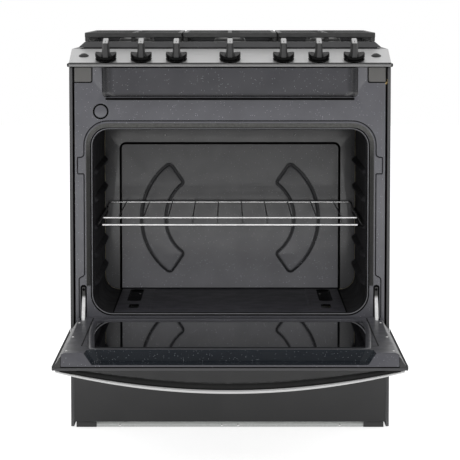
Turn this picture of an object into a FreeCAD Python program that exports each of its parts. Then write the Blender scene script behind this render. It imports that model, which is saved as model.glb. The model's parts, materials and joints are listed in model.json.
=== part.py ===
import FreeCAD, Part
import math
import os

# Freestanding gas range with its oven door open, in millimetres.
# X runs left to right, the front faces -Y and +Z is up.
# The origin is the middle of the base frame, on the floor.

Vector = FreeCAD.Vector

# ---- cabinet -------------------------------------------------------------
BODY_HALF = 378.5
FRONT_Y = -320.0
REAR_Y = 320.0
SIDE_SHEET = 1.2
SIDE_BOTTOM = 2.0
SIDE_TOP = 897.0
SIDE_FRONT_FLANGE = 7.5

# ---- base ----------------------------------------------------------------
BASE_HALF_X = 362.5
BASE_HALF_Y = 314.5
BASE_RAIL = 30.0
BASE_HEIGHT = 8.0
LEG_HOLE_X = 347.5
LEG_HOLE_Y = 299.5
LEG_HOLE_RADIUS = 5.0
BRACKET_INNER_X = 318.0
BRACKET_OUTER_X = 366.0
BRACKET_HEIGHT = 12.5
BRACKET_SHEET = 3.0
BRACKET_LEG = 48.0

# ---- rear panel ------------------------------------------------------------
REAR_PANEL_HALF = 377.0
REAR_PANEL_BOTTOM = 12.5
REAR_PANEL_SHEET = 1.2
REAR_PANEL_SETBACK = 0.3
VENT_ROWS = 6
VENT_ROW_BOTTOM = 600.0
VENT_ROW_PITCH = 24.0
VENT_SLOT_HEIGHT = 6.0
VENT_SLOT_HALF = 40.0
VENT_SLOT_X = (-180.0, -60.0, 60.0, 180.0)
REAR_SCREW_X = 360.0
REAR_SCREW_Z = (60.0, 300.0, 560.0, 840.0)
REAR_SCREW_RADIUS = 4.0
SCREW_HEAD_HEIGHT = 2.5

# ---- porcelain front frame -------------------------------------------------
FRAME_HALF = 366.0
FRAME_SHEET = 2.0
FRAME_BOTTOM = 222.0
FRAME_TOP = 856.0
OPENING_HALF = 323.5
OPENING_BOTTOM = 274.7
OPENING_TOP = 709.2
OPENING_RADIUS = 38.0
RIM_DEPTH = 12.0
BLOCK_BASE_HALF = 301.5
BLOCK_FACE_HALF = 276.0
BLOCK_BOTTOM = 787.6
BLOCK_TOP = 855.0
BLOCK_DEPTH = 20.0
PLUG_X = -304.5
PLUG_Z = 752.3
PLUG_RADIUS = 18.0
PLUG_HOLE_RADIUS = 15.0
PLUG_HEAD = 2.5
PLUG_STEM = 8.0
PLUG_WALL = 3.0
HINGE_X = 347.0
SLOT_WIDTH = 15.0
SLOT_BOTTOM = 262.7
SLOT_TOP = 341.5
SLOT_CORNER = 6.0
CORNER_PLATE_X = (326.0, 365.0)
CORNER_PLATE_Z = (822.0, 855.0)
CORNER_PLATE_SHEET = 2.0
GASKET_GAP = 3.7
GASKET_WIDTH = 13.0
GASKET_THICKNESS = 4.7
GASKET_LOW_END = 334.0
GASKET_INNER_TOP = 711.5
GASKET_OUTER_RADIUS = 50.0
GASKET_INNER_RADIUS = 37.0

# ---- oven ------------------------------------------------------------------
CAVITY_HALF = 322.0
CAVITY_FRONT = FRONT_Y + RIM_DEPTH + 0.5
CAVITY_BACK = 200.0
CAVITY_TOP = 712.0
SUMP_BOTTOM = 228.0
LINER_SHEET = 2.0
FLOOR_LEDGE_TOP = 270.0
FLOOR_HALF = 278.0
RIB_INNER = 308.0
RIB_HEIGHT = 8.0
RIB_TOP_RACK = 477.8
RIB_PITCH = 66.5
RIB_LEVELS = (-2, -1, 0, 1, 2)
RIB_FRONT = -290.0
RIB_BACK = 190.0
CRESCENT_OFFSET = 53.6
CRESCENT_Z = 455.0
CRESCENT_OUTER = 175.0
CRESCENT_INNER = 111.0
CRESCENT_HALF_ANGLE = 55.0
PRESSING_DEPTH = 2.5
GROOVE_HALF = 283.5
GROOVE_TOP = 650.5
GROOVE_WIDTH = 5.0
INSULATION_HALF = 352.0
INSULATION_TOP = 750.0
INSULATION_BACK = 240.0
INSULATION_FRONT = -300.0
INSULATION_BOTTOM = 226.0
BACK_SCREW_X = 167.0
BACK_SCREW_Z = 668.7
BACK_SCREW_RADIUS = 5.0
FLOOR_SHEET = 2.0
FLOOR_SLOT_X = 240.0
FLOOR_SLOT_HALF = 5.0
FLOOR_SLOT_LENGTH = 40.0
FLOOR_SLOT_START = -200.0
FLOOR_SLOT_PITCH = 80.0
FLOOR_SLOT_COUNT = 5
BAKE_RADIUS = 13.0
BAKE_HALF = 150.0
BAKE_FRONT = -220.0
BAKE_BACK = 120.0
BAKE_RISE = 20.0
BROIL_RADIUS = 9.0
BROIL_HALF = 100.0
BROIL_FRONT = -150.0
BROIL_BACK = 90.0
BROIL_DROP = 14.0
LAMP_X = 230.0
LAMP_Y = 60.0
LAMP_BASE_RADIUS = 30.0
LAMP_BASE_HEIGHT = 5.0
LAMP_DOME_RADIUS = 24.0
LAMP_DOME_HEIGHT = 11.0

# ---- door ------------------------------------------------------------------
PIVOT_Y = FRONT_Y - 21.0
PIVOT_Z = 250.0
DOOR_HALF = 378.5
DOOR_HEEL = 16.0
DOOR_LENGTH = 592.0
DOOR_INNER = 16.0
DOOR_OUTER = -21.0
DOOR_SHEET = 2.0
LINER_HALF = 360.0
RECESS_START = 535.0
RECESS_FLOOR = -9.0
RECESS_TOP_HALF = 311.0
RECESS_FLOOR_HALF = 294.0
GLASS_HALF = 323.0
GLASS_START = 22.0
GLASS_END = 480.0
WINDOW_HALF = 235.0
WINDOW_START = 165.0
WINDOW_END = 435.0
DOOR_SCREW_X = 349.0
DOOR_SCREW_ALONG = (100.0, 340.0, 560.0)
DOOR_SCREW_RADIUS = 3.5
DOOR_SCREW_HEIGHT = 1.8
GLASS_THICKNESS = 4.0
OUTER_GLASS_MARGIN = 20.0
DOOR_PAD_HALF = 325.0
DOOR_PAD_START = 30.0
DOOR_PAD_END = 515.0
DOOR_PAD_LOW = -12.0
DOOR_PAD_HIGH = 8.0
CHEEK_INNER = 6.5
CHEEK_OUTER = 9.0
CHEEK_START = -5.5
CHEEK_END = 120.0
CHEEK_LOW = -17.0
CHEEK_HIGH = 12.0
PIN_HALF_LENGTH = 9.5
ARM_BOSS_RADIUS = 9.0
ARM_OUTLINE = ((8, -4), (22, 16), (41, 16), (41, 86), (24, 86), (24, 60), (6, 30), (-8, 5))
ARM_THICKNESS = 5.0
PIN_RADIUS = 4.0
PIN_CLEARANCE = 0.05
HANDLE_PLACE = 569.0
HANDLE_HALF_SPAN = 362.0
HANDLE_END_V = -28.0
HANDLE_MID_V = -63.0
HANDLE_RADIUS = 11.0
HANDLE_WALL = 2.0
HANDLE_FOOT_HALF_WIDTH = 12.0
HANDLE_FOOT_HALF_DEPTH = 13.0
HANDLE_FOOT_DROP = 10.0
TRIM_LOW = -18.5
TRIM_HIGH = 10.0

# ---- drawer ----------------------------------------------------------------
DRAWER_HALF = 369.5
DRAWER_BOTTOM = 16.7
DRAWER_TOP = 219.0
DRAWER_FACE_Y = -340.0
DRAWER_BACK_OF_FRONT = -322.0
BOX_HALF = 330.0
BOX_BOTTOM = 28.0
BOX_TOP = 190.0
BOX_BACK = 240.0
BOX_SHEET = 1.5
RUNNER_Z = 105.0
RUNNER_HALF_HEIGHT = 7.0
RUNNER_CLEARANCE = 0.3
RUNNER_WIDTH = 13.0
RUNNER_FRONT = -300.0
GUIDE_X = (338.0, 350.0)
GUIDE_GROOVE_X = 347.5
GUIDE_FRONT = -296.0
GUIDE_BACK = 300.0
GUIDE_WALL = 2.5
GUIDE_ARM_Y = (-280.0, 220.0)
GUIDE_ARM_LENGTH = 30.0
GUIDE_ARM_HALF_HEIGHT = 2.0
DRAWER_SHEET = 2.0
DRAWER_CORNER = 4.0

# ---- control panel, knobs and buttons ---------------------------------------
PANEL_HALF = 378.0
NOSE_Y = -338.0
NOSE_BOTTOM = 857.5
NOSE_TOP = 866.0
PANEL_REAR_Y = -217.0
PANEL_REAR_Z = 898.0
PANEL_SHEET = 2.0
PANEL_TILT = math.degrees(math.atan2(PANEL_REAR_Z - NOSE_TOP, PANEL_REAR_Y - NOSE_Y))
KNOB_SETBACK = 26.5
KNOB_X = (-292.0, -209.0, -126.0, 126.0, 209.0, 292.0)
BEZEL_RADIUS = 25.0
BEZEL_HEIGHT = 4.5
SKIRT_BOTTOM = 8.0
SKIRT_TOP = 13.0
GRIP_TOP = 47.0
GRIP_WIDTH = 20.0
GRIP_LENGTH = 46.0
STEM_RADIUS = 3.0
STEM_CLEARANCE = 0.05
STEM_BOTTOM = -30.0
STEM_TOP = 29.0
PANEL_HOLE_RADIUS = 6.0
VALVE_RADIUS = 9.0
VALVE_TOP = -6.0
VALVE_BOTTOM = -42.0
MANIFOLD_DROP = 52.0
MANIFOLD_RADIUS = 10.0
MANIFOLD_END_X = -320.0
END_CAP_GAP = 0.2
END_CAP_WIDTH = 4.0
END_CAP_ROUND = 2.5
BUTTON_SETBACK = 62.0
BUTTON_X = 346.0
BUTTON_RADIUS = 10.8
BUTTON_HOLE_CLEARANCE = 0.1
BUTTON_BODY_BOTTOM = -6.0
BUTTON_SHOULDER = 3.0
BUTTON_DOME_RADIUS = 14.0
BUTTON_STEM_RADIUS = 4.0
BUTTON_STEM_BOTTOM = -16.0

# ---- cooktop ---------------------------------------------------------------
TOP_FRONT = -212.0
TOP_REAR = 317.0
TOP_BOTTOM_HALF = 363.0
TOP_UPPER_HALF = 347.0
TOP_UNDERSIDE = 900.5
TOP_LIP = 914.6
WELL_FLOOR = 905.0
WELL_HALF = 338.0
WELL_FRONT = -194.0
WELL_REAR = 274.0
BURNER_X = (-232.0, 0.0, 232.0)
BURNER_Y = (-85.0, 165.0)
BURNER_RADIUS = 42.0
BURNER_THROAT = 18.0
BURNER_HOLE = 20.0
HEAD_TOP = 915.0
CAP_TOP = 922.0
TOP_RIM_HALF = 350.0
TOP_RIM_WALL = 4.0
WELL_CORNER = 20.0
TRIM_FRONT = 287.0
TRIM_TOP = 930.0
TRIM_SLOT_COUNT = 6
TRIM_SLOT_START = -100.0
TRIM_SLOT_PITCH = 34.0
TRIM_SLOT_LENGTH = 24.0
TRIM_SLOT_Y = (296.0, 308.0)
TRIM_SLOT_FLOOR = 918.0
GRATE_TOP = 936.2
GRATE_BAR_HEIGHT = 12.0
GRATE_BAR_WIDTH = 10.0
GRATE_FRONT = -203.0
GRATE_REAR = 283.0
SIDE_GRATE = (116.0, 348.0)
CENTRE_GRATE_HALF = 112.0
GRATE_FINGER_GAP = 24.0
GRATE_LEG = 10.0

# ---- rack ------------------------------------------------------------------
RACK_RAIL_X = 315.0
RACK_RAIL_RADIUS = 3.2
RACK_RAIL_Z = RIB_TOP_RACK + RACK_RAIL_RADIUS + 0.3
RACK_DECK_Z = 498.0
RACK_WIRE_RADIUS = 2.2
RACK_FRONT = -290.0
RACK_REAR = 172.0
RACK_WIRE_PITCH = 59.0
RACK_WIRE_COUNT = 10
RACK_DECK_HALF = 300.0
RACK_CROSS_WIRES = (RACK_FRONT + 2.0, -120.0, 40.0, RACK_REAR)

# ---- services --------------------------------------------------------------
SUPPLY_X = 364.0
SUPPLY_Y = 275.0
SUPPLY_RADIUS = 8.0
INLET_X = 300.0
INLET_Z = 70.0
INLET_RADIUS = 10.5
INLET_LENGTH = 20.0
REGULATOR_RADIUS = 26.0
CORD_X = -280.0
CORD_Z = 80.0
CORD_BORE = 5.0
BUSH_FLANGE_RADIUS = 11.0
BUSH_RADIUS = 7.8
BUSH_HOLE_RADIUS = 8.0


def box(x_low, x_high, y_low, y_high, z_low, z_high):
    """A box between two corners."""
    size = (x_high - x_low, y_high - y_low, z_high - z_low)
    return Part.makeBox(size[0], size[1], size[2], Vector(x_low, y_low, z_low))


def rod(radius, start, end):
    """A round bar from one point to another."""
    direction = Vector(*end) - Vector(*start)
    return Part.makeCylinder(radius, direction.Length, Vector(*start), direction)


def pipe(radius, points):
    """A run of round bars with ball corners, fused into one solid."""
    pieces = [rod(radius, start, end) for start, end in zip(points, points[1:])]
    pieces += [Part.makeSphere(radius, Vector(*point)) for point in points[1:-1]]
    return pieces[0].fuse(pieces[1:]).removeSplitter()


def rounded_box(limits, radius, axis):
    """A box whose four edges along one axis are rounded."""
    solid = box(*limits)
    along = [edge for edge in solid.Edges
             if abs(abs((edge.Vertexes[1].Point - edge.Vertexes[0].Point).normalize().dot(axis)) - 1) < 1e-6]
    return solid.makeFillet(radius, along)


def prism_x(outline, x_low, x_high):
    """A (y, z) outline extruded along X."""
    corners = [Vector(x_low, y, z) for y, z in outline]
    face = Part.Face(Part.makePolygon(corners + corners[:1]))
    return face.extrude(Vector(x_high - x_low, 0, 0))


def mirrored(shape):
    """The same shape on the other side of the middle plane."""
    return shape.mirror(Vector(0, 0, 0), Vector(1, 0, 0))


def both_sides(shape):
    """A shape and its mirror image as two separate solids."""
    return Part.makeCompound([shape, mirrored(shape)])


def frustum(low, high):
    """A solid between two rectangles, each given as its four corners in order."""
    wires = [Part.makePolygon([Vector(*p) for p in corners + corners[:1]]) for corners in (low, high)]
    return Part.makeLoft(wires, True, True)


# ---- base and cabinet ------------------------------------------------------
def base_frame():
    ring = box(-BASE_HALF_X, BASE_HALF_X, -BASE_HALF_Y, BASE_HALF_Y, 0, BASE_HEIGHT)
    inner_x = BASE_HALF_X - BASE_RAIL
    inner_y = BASE_HALF_Y - BASE_RAIL
    cuts = [box(-inner_x, inner_x, -inner_y, inner_y, -1, BASE_HEIGHT + 1)]
    for x in (-LEG_HOLE_X, LEG_HOLE_X):
        for y in (-LEG_HOLE_Y, LEG_HOLE_Y):
            cuts.append(rod(LEG_HOLE_RADIUS, (x, y, -1), (x, y, BASE_HEIGHT + 1)))
    return ring.cut(cuts)


def corner_brackets():
    solids = []
    for end in (-1, 1):
        face_y = end * (BASE_HALF_Y + 0.5)
        outer_y = face_y + end * BRACKET_SHEET
        inner_y = end * (BASE_HALF_Y - BRACKET_LEG)
        front = box(BRACKET_INNER_X, BRACKET_OUTER_X, min(face_y, outer_y), max(face_y, outer_y),
                    0, BRACKET_HEIGHT)
        side = box(BRACKET_OUTER_X - BRACKET_SHEET, BRACKET_OUTER_X, min(inner_y, outer_y),
                   max(inner_y, outer_y), 0, BRACKET_HEIGHT)
        angle = front.fuse(side).removeSplitter()
        solids += [angle, mirrored(angle)]
    return Part.makeCompound(solids)


def side_panel():
    step_y = PANEL_REAR_Y + 3.0
    step_z = NOSE_BOTTOM - 2.0
    outline = [(FRONT_Y + 1, SIDE_BOTTOM), (REAR_Y - 2, SIDE_BOTTOM), (REAR_Y - 2, SIDE_TOP),
               (step_y, SIDE_TOP), (step_y, step_z), (FRONT_Y + 1, step_z)]
    inner = BODY_HALF - SIDE_SHEET
    sheet = prism_x(outline, inner, BODY_HALF)
    flange_x = BODY_HALF - SIDE_FRONT_FLANGE
    front = box(flange_x, BODY_HALF, FRONT_Y + 1, FRONT_Y + 1 + SIDE_SHEET, SIDE_BOTTOM, step_z)
    bottom = box(flange_x, BODY_HALF, FRONT_Y + 1, REAR_Y - 2, SIDE_BOTTOM, SIDE_BOTTOM + SIDE_SHEET)
    top = box(flange_x - 10, BODY_HALF, step_y, REAR_Y - 2, SIDE_TOP - SIDE_SHEET, SIDE_TOP)
    return sheet.fuse([front, bottom, top]).removeSplitter()


def rear_panel():
    outside = REAR_Y - REAR_PANEL_SETBACK
    sheet = box(-REAR_PANEL_HALF, REAR_PANEL_HALF, outside - REAR_PANEL_SHEET, outside, REAR_PANEL_BOTTOM,
                SIDE_TOP - 2)
    cuts = [rod(INLET_RADIUS + 4, (INLET_X, REAR_Y - 3, INLET_Z), (INLET_X, REAR_Y + 3, INLET_Z))]
    cuts.append(rod(BUSH_HOLE_RADIUS, (CORD_X, REAR_Y - 3, CORD_Z), (CORD_X, REAR_Y + 3, CORD_Z)))
    for row in range(VENT_ROWS):
        z = VENT_ROW_BOTTOM + VENT_ROW_PITCH * row
        for x in VENT_SLOT_X:
            cuts.append(box(x - VENT_SLOT_HALF, x + VENT_SLOT_HALF, REAR_Y - 3, REAR_Y + 3, z,
                            z + VENT_SLOT_HEIGHT))
    return sheet.cut(cuts)


def front_block(inset):
    """The raised block at the top of the frame; inset makes the hollow behind its skin."""
    back = FRONT_Y + (FRAME_SHEET + 1 if inset else 0)
    face = FRONT_Y - BLOCK_DEPTH + inset
    low = BLOCK_BOTTOM + inset
    top = BLOCK_TOP - inset
    base_half = BLOCK_BASE_HALF - inset
    face_half = BLOCK_FACE_HALF - inset
    base = [(-base_half, back, low), (base_half, back, low), (base_half, back, top), (-base_half, back, top)]
    front = [(-face_half, face, low), (face_half, face, low), (face_half, face, top), (-face_half, face, top)]
    return frustum(base, front)


def front_frame():
    back = FRONT_Y + FRAME_SHEET
    plate = box(-FRAME_HALF, FRAME_HALF, FRONT_Y, back, FRAME_BOTTOM, FRAME_TOP)
    along_y = Vector(0, 1, 0)
    rim_limits = (-OPENING_HALF - FRAME_SHEET, OPENING_HALF + FRAME_SHEET, FRONT_Y, FRONT_Y + RIM_DEPTH,
                  OPENING_BOTTOM - FRAME_SHEET, OPENING_TOP + FRAME_SHEET)
    rim = rounded_box(rim_limits, OPENING_RADIUS + FRAME_SHEET, along_y)
    hole_limits = (-OPENING_HALF, OPENING_HALF, FRONT_Y - 30, FRONT_Y + 30, OPENING_BOTTOM, OPENING_TOP)
    cuts = [rounded_box(hole_limits, OPENING_RADIUS, along_y)]
    cuts.append(front_block(FRAME_SHEET))
    cuts.append(rod(PLUG_HOLE_RADIUS, (PLUG_X, FRONT_Y - 2, PLUG_Z), (PLUG_X, back + 2, PLUG_Z)))
    slot = rounded_box((HINGE_X - SLOT_WIDTH / 2, HINGE_X + SLOT_WIDTH / 2, FRONT_Y - 2, back + 2,
                        SLOT_BOTTOM, SLOT_TOP), SLOT_CORNER, along_y)
    cuts += [slot, mirrored(slot)]
    return plate.fuse([rim, front_block(0)]).cut(cuts).removeSplitter()


def frame_hole_plug():
    end = FRONT_Y + PLUG_STEM
    head = rod(PLUG_RADIUS, (PLUG_X, FRONT_Y - PLUG_HEAD, PLUG_Z), (PLUG_X, FRONT_Y, PLUG_Z))
    stem = rod(PLUG_HOLE_RADIUS - 0.2, (PLUG_X, FRONT_Y, PLUG_Z), (PLUG_X, end, PLUG_Z))
    hollow = rod(PLUG_HOLE_RADIUS - PLUG_WALL, (PLUG_X, FRONT_Y + 1, PLUG_Z), (PLUG_X, end + 1, PLUG_Z))
    return head.fuse(stem).cut(hollow)


def panel_corner_brackets():
    plate = rounded_box((CORNER_PLATE_X[0], CORNER_PLATE_X[1], FRONT_Y - CORNER_PLATE_SHEET, FRONT_Y,
                         CORNER_PLATE_Z[0], CORNER_PLATE_Z[1]), 5.0, Vector(0, 1, 0))
    return both_sides(plate)


def chassis_screws():
    solids = []
    for x in (-BACK_SCREW_X, BACK_SCREW_X):
        y = CAVITY_BACK - 2.5
        solids.append(rod(BACK_SCREW_RADIUS, (x, y - SCREW_HEAD_HEIGHT, BACK_SCREW_Z), (x, y, BACK_SCREW_Z)))
    y = REAR_Y - REAR_PANEL_SETBACK
    for x in (-REAR_SCREW_X, REAR_SCREW_X):
        for z in REAR_SCREW_Z:
            solids.append(rod(REAR_SCREW_RADIUS, (x, y, z), (x, y + SCREW_HEAD_HEIGHT, z)))
    return Part.makeCompound(solids)


# ---- oven ------------------------------------------------------------------
def oven_liner():
    wall = LINER_SHEET
    shell = box(-CAVITY_HALF - wall, CAVITY_HALF + wall, CAVITY_FRONT, CAVITY_BACK + wall,
                SUMP_BOTTOM - wall, CAVITY_TOP + wall)
    hollow = box(-CAVITY_HALF, CAVITY_HALF, CAVITY_FRONT + wall, CAVITY_BACK, SUMP_BOTTOM, CAVITY_TOP)
    mouth = box(-CAVITY_HALF, CAVITY_HALF, CAVITY_FRONT - 1, CAVITY_FRONT + wall + 1,
                FLOOR_LEDGE_TOP, CAVITY_TOP)
    ledge = box(FLOOR_HALF - 12, CAVITY_HALF, CAVITY_FRONT + wall, CAVITY_BACK, FLOOR_LEDGE_TOP - wall,
                FLOOR_LEDGE_TOP)
    additions = [ledge, mirrored(ledge)]
    for level in RIB_LEVELS:
        top = RIB_TOP_RACK + level * RIB_PITCH
        rib = box(RIB_INNER, CAVITY_HALF, RIB_FRONT, RIB_BACK, top - RIB_HEIGHT, top)
        additions += [rib, mirrored(rib)]
    return shell.cut([hollow, mouth]).fuse(additions).removeSplitter()


def crescent(depth_low, depth_high):
    """One bowed sector of the back wall pressing, on the right side."""
    centre = Vector(CRESCENT_OFFSET, depth_low, CRESCENT_Z)
    thickness = depth_high - depth_low
    start = Vector(1, 0, 0)
    along = Vector(0, 1, 0)
    outer = Part.makeCylinder(CRESCENT_OUTER, thickness, centre, along, 360)
    inner = Part.makeCylinder(CRESCENT_INNER, thickness, centre, along, 360)
    reach = CRESCENT_OUTER * 1.5
    rise = reach * math.tan(math.radians(CRESCENT_HALF_ANGLE))
    corners = [centre, centre + start * reach + Vector(0, 0, rise), centre + start * reach - Vector(0, 0, rise)]
    wedge = Part.Face(Part.makePolygon(corners + corners[:1])).extrude(along * thickness)
    return outer.cut(inner).common(wedge)


def oven_back_wall():
    front = CAVITY_BACK - 2.5
    plate = box(-CAVITY_HALF + 3, CAVITY_HALF - 3, front, CAVITY_BACK - 0.3, 276.0, CAVITY_TOP - 3)
    groove_out = box(-GROOVE_HALF, GROOVE_HALF, front - 1, front + 1, 270.0, GROOVE_TOP)
    inner_half = GROOVE_HALF - GROOVE_WIDTH
    groove_in = box(-inner_half, inner_half, front - 2, front + 2, 260.0, GROOVE_TOP - GROOVE_WIDTH)
    pressing = crescent(front - PRESSING_DEPTH, front)
    return plate.cut(groove_out.cut(groove_in)).fuse([pressing, mirrored(pressing)]).removeSplitter()


def oven_floor_panel():
    low = FLOOR_LEDGE_TOP + 0.2
    panel = box(-FLOOR_HALF, FLOOR_HALF, CAVITY_FRONT + 3, CAVITY_BACK - 4, low, low + FLOOR_SHEET)
    cuts = []
    for x in (-FLOOR_SLOT_X, FLOOR_SLOT_X):
        for row in range(FLOOR_SLOT_COUNT):
            y = FLOOR_SLOT_START + FLOOR_SLOT_PITCH * row
            cuts.append(box(x - FLOOR_SLOT_HALF, x + FLOOR_SLOT_HALF, y, y + FLOOR_SLOT_LENGTH, low - 1,
                            low + FLOOR_SHEET + 1))
    return panel.cut(cuts)


def u_path(half, front, back, z):
    """A level U, open at the front."""
    return [(half, front, z), (half, back, z), (-half, back, z), (-half, front, z)]


def oven_burners():
    low = SUMP_BOTTOM + BAKE_RISE
    high = CAVITY_TOP - BROIL_DROP
    bake = pipe(BAKE_RADIUS, u_path(BAKE_HALF, BAKE_FRONT, BAKE_BACK, low))
    broil = pipe(BROIL_RADIUS, u_path(BROIL_HALF, BROIL_FRONT, BROIL_BACK, high))
    return Part.makeCompound([bake, broil])


def oven_lamp():
    base_low = CAVITY_TOP - LAMP_BASE_HEIGHT
    base = rod(LAMP_BASE_RADIUS, (LAMP_X, LAMP_Y, base_low), (LAMP_X, LAMP_Y, CAVITY_TOP))
    dome = rod(LAMP_DOME_RADIUS, (LAMP_X, LAMP_Y, base_low - LAMP_DOME_HEIGHT), (LAMP_X, LAMP_Y, base_low))
    return base.fuse(dome)


def door_gasket():
    inner = OPENING_HALF + GASKET_GAP
    outer = inner + GASKET_WIDTH
    low = GASKET_LOW_END
    outer_top = GASKET_INNER_TOP + GASKET_WIDTH
    along_y = Vector(0, 1, 0)
    front = FRONT_Y - GASKET_THICKNESS
    bow = rounded_box((-outer, outer, front, FRONT_Y, low - 60, outer_top), GASKET_OUTER_RADIUS, along_y)
    hollow = rounded_box((-inner, inner, front - 1, FRONT_Y + 1, low - 90, GASKET_INNER_TOP),
                         GASKET_INNER_RADIUS, along_y)
    below = box(-outer - 1, outer + 1, front - 1, FRONT_Y + 1, low - 100, low)
    return bow.cut([hollow, below])


def oven_insulation():
    skin = CAVITY_HALF + LINER_SHEET + 2
    block = box(-INSULATION_HALF, INSULATION_HALF, INSULATION_FRONT, INSULATION_BACK, INSULATION_BOTTOM,
                INSULATION_TOP)
    hollow = box(-skin, skin, INSULATION_FRONT - 10, CAVITY_BACK + LINER_SHEET + 2, INSULATION_BOTTOM - 26,
                 CAVITY_TOP + LINER_SHEET + 2)
    arm_room = box(HINGE_X - 17, HINGE_X + 13, INSULATION_FRONT - 10, INSULATION_FRONT + 30,
                   INSULATION_BOTTOM - 6, SLOT_TOP + 8.5)
    return block.cut([hollow, arm_room, mirrored(arm_room)])


# ---- door ------------------------------------------------------------------
def door_point(along, out):
    """World (y, z) of a point of the open door: along from the pivot, out towards its inner side."""
    return (PIVOT_Y - along, PIVOT_Z + out)


def door_box(x_low, x_high, along_low, along_high, out_low, out_high):
    """A box in the door's own directions, placed on the open door."""
    y_high, z_low = door_point(along_low, out_low)
    y_low, z_high = door_point(along_high, out_high)
    return box(x_low, x_high, y_low, y_high, z_low, z_high)


def arm_slot():
    """Room for one hinge arm as the door swings."""
    return door_box(HINGE_X - 6, HINGE_X + 6, -DOOR_HEEL - 1, 92, -12, DOOR_INNER + 1)


def door_outer_panel():
    sheet = DOOR_SHEET
    face = door_box(-DOOR_HALF, DOOR_HALF, -DOOR_HEEL, DOOR_LENGTH, DOOR_OUTER, DOOR_OUTER + sheet)
    side = door_box(DOOR_HALF - sheet, DOOR_HALF, -8, DOOR_LENGTH, DOOR_OUTER, -4)
    heel = door_box(-DOOR_HALF, DOOR_HALF, -DOOR_HEEL, -DOOR_HEEL + sheet, DOOR_OUTER, -10)
    window = door_box(-WINDOW_HALF, WINDOW_HALF, WINDOW_START, WINDOW_END, DOOR_OUTER - 1, 0)
    return face.fuse([side, mirrored(side), heel]).cut(window).removeSplitter()


def door_outer_glass():
    half = WINDOW_HALF + OUTER_GLASS_MARGIN
    low = DOOR_OUTER + DOOR_SHEET
    return door_box(-half, half, WINDOW_START - OUTER_GLASS_MARGIN, WINDOW_END + OUTER_GLASS_MARGIN, low,
                    low + GLASS_THICKNESS)


def door_inner_liner():
    wall = DOOR_SHEET
    low = -2.0
    skin = door_box(-LINER_HALF, LINER_HALF, 0, DOOR_LENGTH, low, DOOR_INNER)
    round_y, round_z = door_point(0, 0)
    heel = rod(DOOR_INNER, (-LINER_HALF, round_y, round_z), (LINER_HALF, round_y, round_z))
    heel_zone = door_box(-LINER_HALF, LINER_HALF, -DOOR_HEEL - 1, 0, low, DOOR_INNER + 1)
    hollow = door_box(-LINER_HALF + wall, LINER_HALF - wall, -6, DOOR_LENGTH - wall, low - 1,
                      DOOR_INNER - wall)
    pocket = recess(wall, -wall)
    glass_hole = door_box(-GLASS_HALF - 0.5, GLASS_HALF + 0.5, GLASS_START - 0.5, GLASS_END + 0.5, low,
                          DOOR_INNER + 1)
    glass_hole_inner = door_box(-GLASS_HALF + 15, GLASS_HALF - 15, GLASS_START + 15, GLASS_END - 15,
                                low - 3, DOOR_INNER + 1)
    tray = skin.fuse(heel.common(heel_zone)).cut(hollow).fuse(pocket)
    cuts = [recess(0, 1), glass_hole.common(door_box(-400, 400, 0, 600, DOOR_INNER - wall - 2, 40))]
    cuts += [glass_hole_inner, arm_slot(), mirrored(arm_slot())]
    return tray.cut(cuts).removeSplitter()


def recess(wall, lift):
    """The trough in the liner that takes the frame's raised block; wall makes its outer skin."""
    start = RECESS_START - wall
    floor = RECESS_FLOOR - wall
    top = DOOR_INNER + lift
    slope = (RECESS_TOP_HALF - RECESS_FLOOR_HALF) / (DOOR_INNER - RECESS_FLOOR)
    floor_half = RECESS_FLOOR_HALF + wall
    top_half = floor_half + slope * (top - floor)
    end = DOOR_LENGTH + (0 if wall else 1)
    y_front = PIVOT_Y - end
    y_back = PIVOT_Y - start
    z_floor = PIVOT_Z + floor
    z_top = PIVOT_Z + top
    low = [(-floor_half, y_front, z_floor), (floor_half, y_front, z_floor),
           (floor_half, y_back, z_floor), (-floor_half, y_back, z_floor)]
    high = [(-top_half, y_front, z_top), (top_half, y_front, z_top),
            (top_half, y_back, z_top), (-top_half, y_back, z_top)]
    return frustum(low, high)


def door_inner_glass():
    return door_box(-GLASS_HALF, GLASS_HALF, GLASS_START, GLASS_END, DOOR_INNER - GLASS_THICKNESS, DOOR_INNER)


def door_insulation():
    pad = door_box(-DOOR_PAD_HALF, DOOR_PAD_HALF, DOOR_PAD_START, DOOR_PAD_END, DOOR_PAD_LOW, DOOR_PAD_HIGH)
    hole = door_box(-WINDOW_HALF - 5, WINDOW_HALF + 5, WINDOW_START - 5, WINDOW_END + 5, DOOR_PAD_LOW - 1,
                    DOOR_PAD_HIGH + 1)
    return pad.cut(hole)


def door_hinge_bodies():
    cheek_in = door_box(HINGE_X - CHEEK_OUTER, HINGE_X - CHEEK_INNER, CHEEK_START, CHEEK_END, CHEEK_LOW,
                        CHEEK_HIGH)
    cheek_out = door_box(HINGE_X + CHEEK_INNER, HINGE_X + CHEEK_OUTER, CHEEK_START, CHEEK_END, CHEEK_LOW,
                         CHEEK_HIGH)
    back = door_box(HINGE_X - CHEEK_OUTER, HINGE_X + CHEEK_OUTER, CHEEK_START, CHEEK_END, CHEEK_LOW - 1.5,
                    CHEEK_LOW + 0.5)
    y, z = door_point(0, 0)
    bore = rod(PIN_RADIUS, (HINGE_X - 15, y, z), (HINGE_X + 15, y, z))
    return both_sides(cheek_in.fuse([cheek_out, back]).cut(bore).removeSplitter())


def door_hinge_pins():
    y, z = door_point(0, 0)
    return both_sides(rod(PIN_RADIUS, (HINGE_X - PIN_HALF_LENGTH, y, z), (HINGE_X + PIN_HALF_LENGTH, y, z)))


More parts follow.
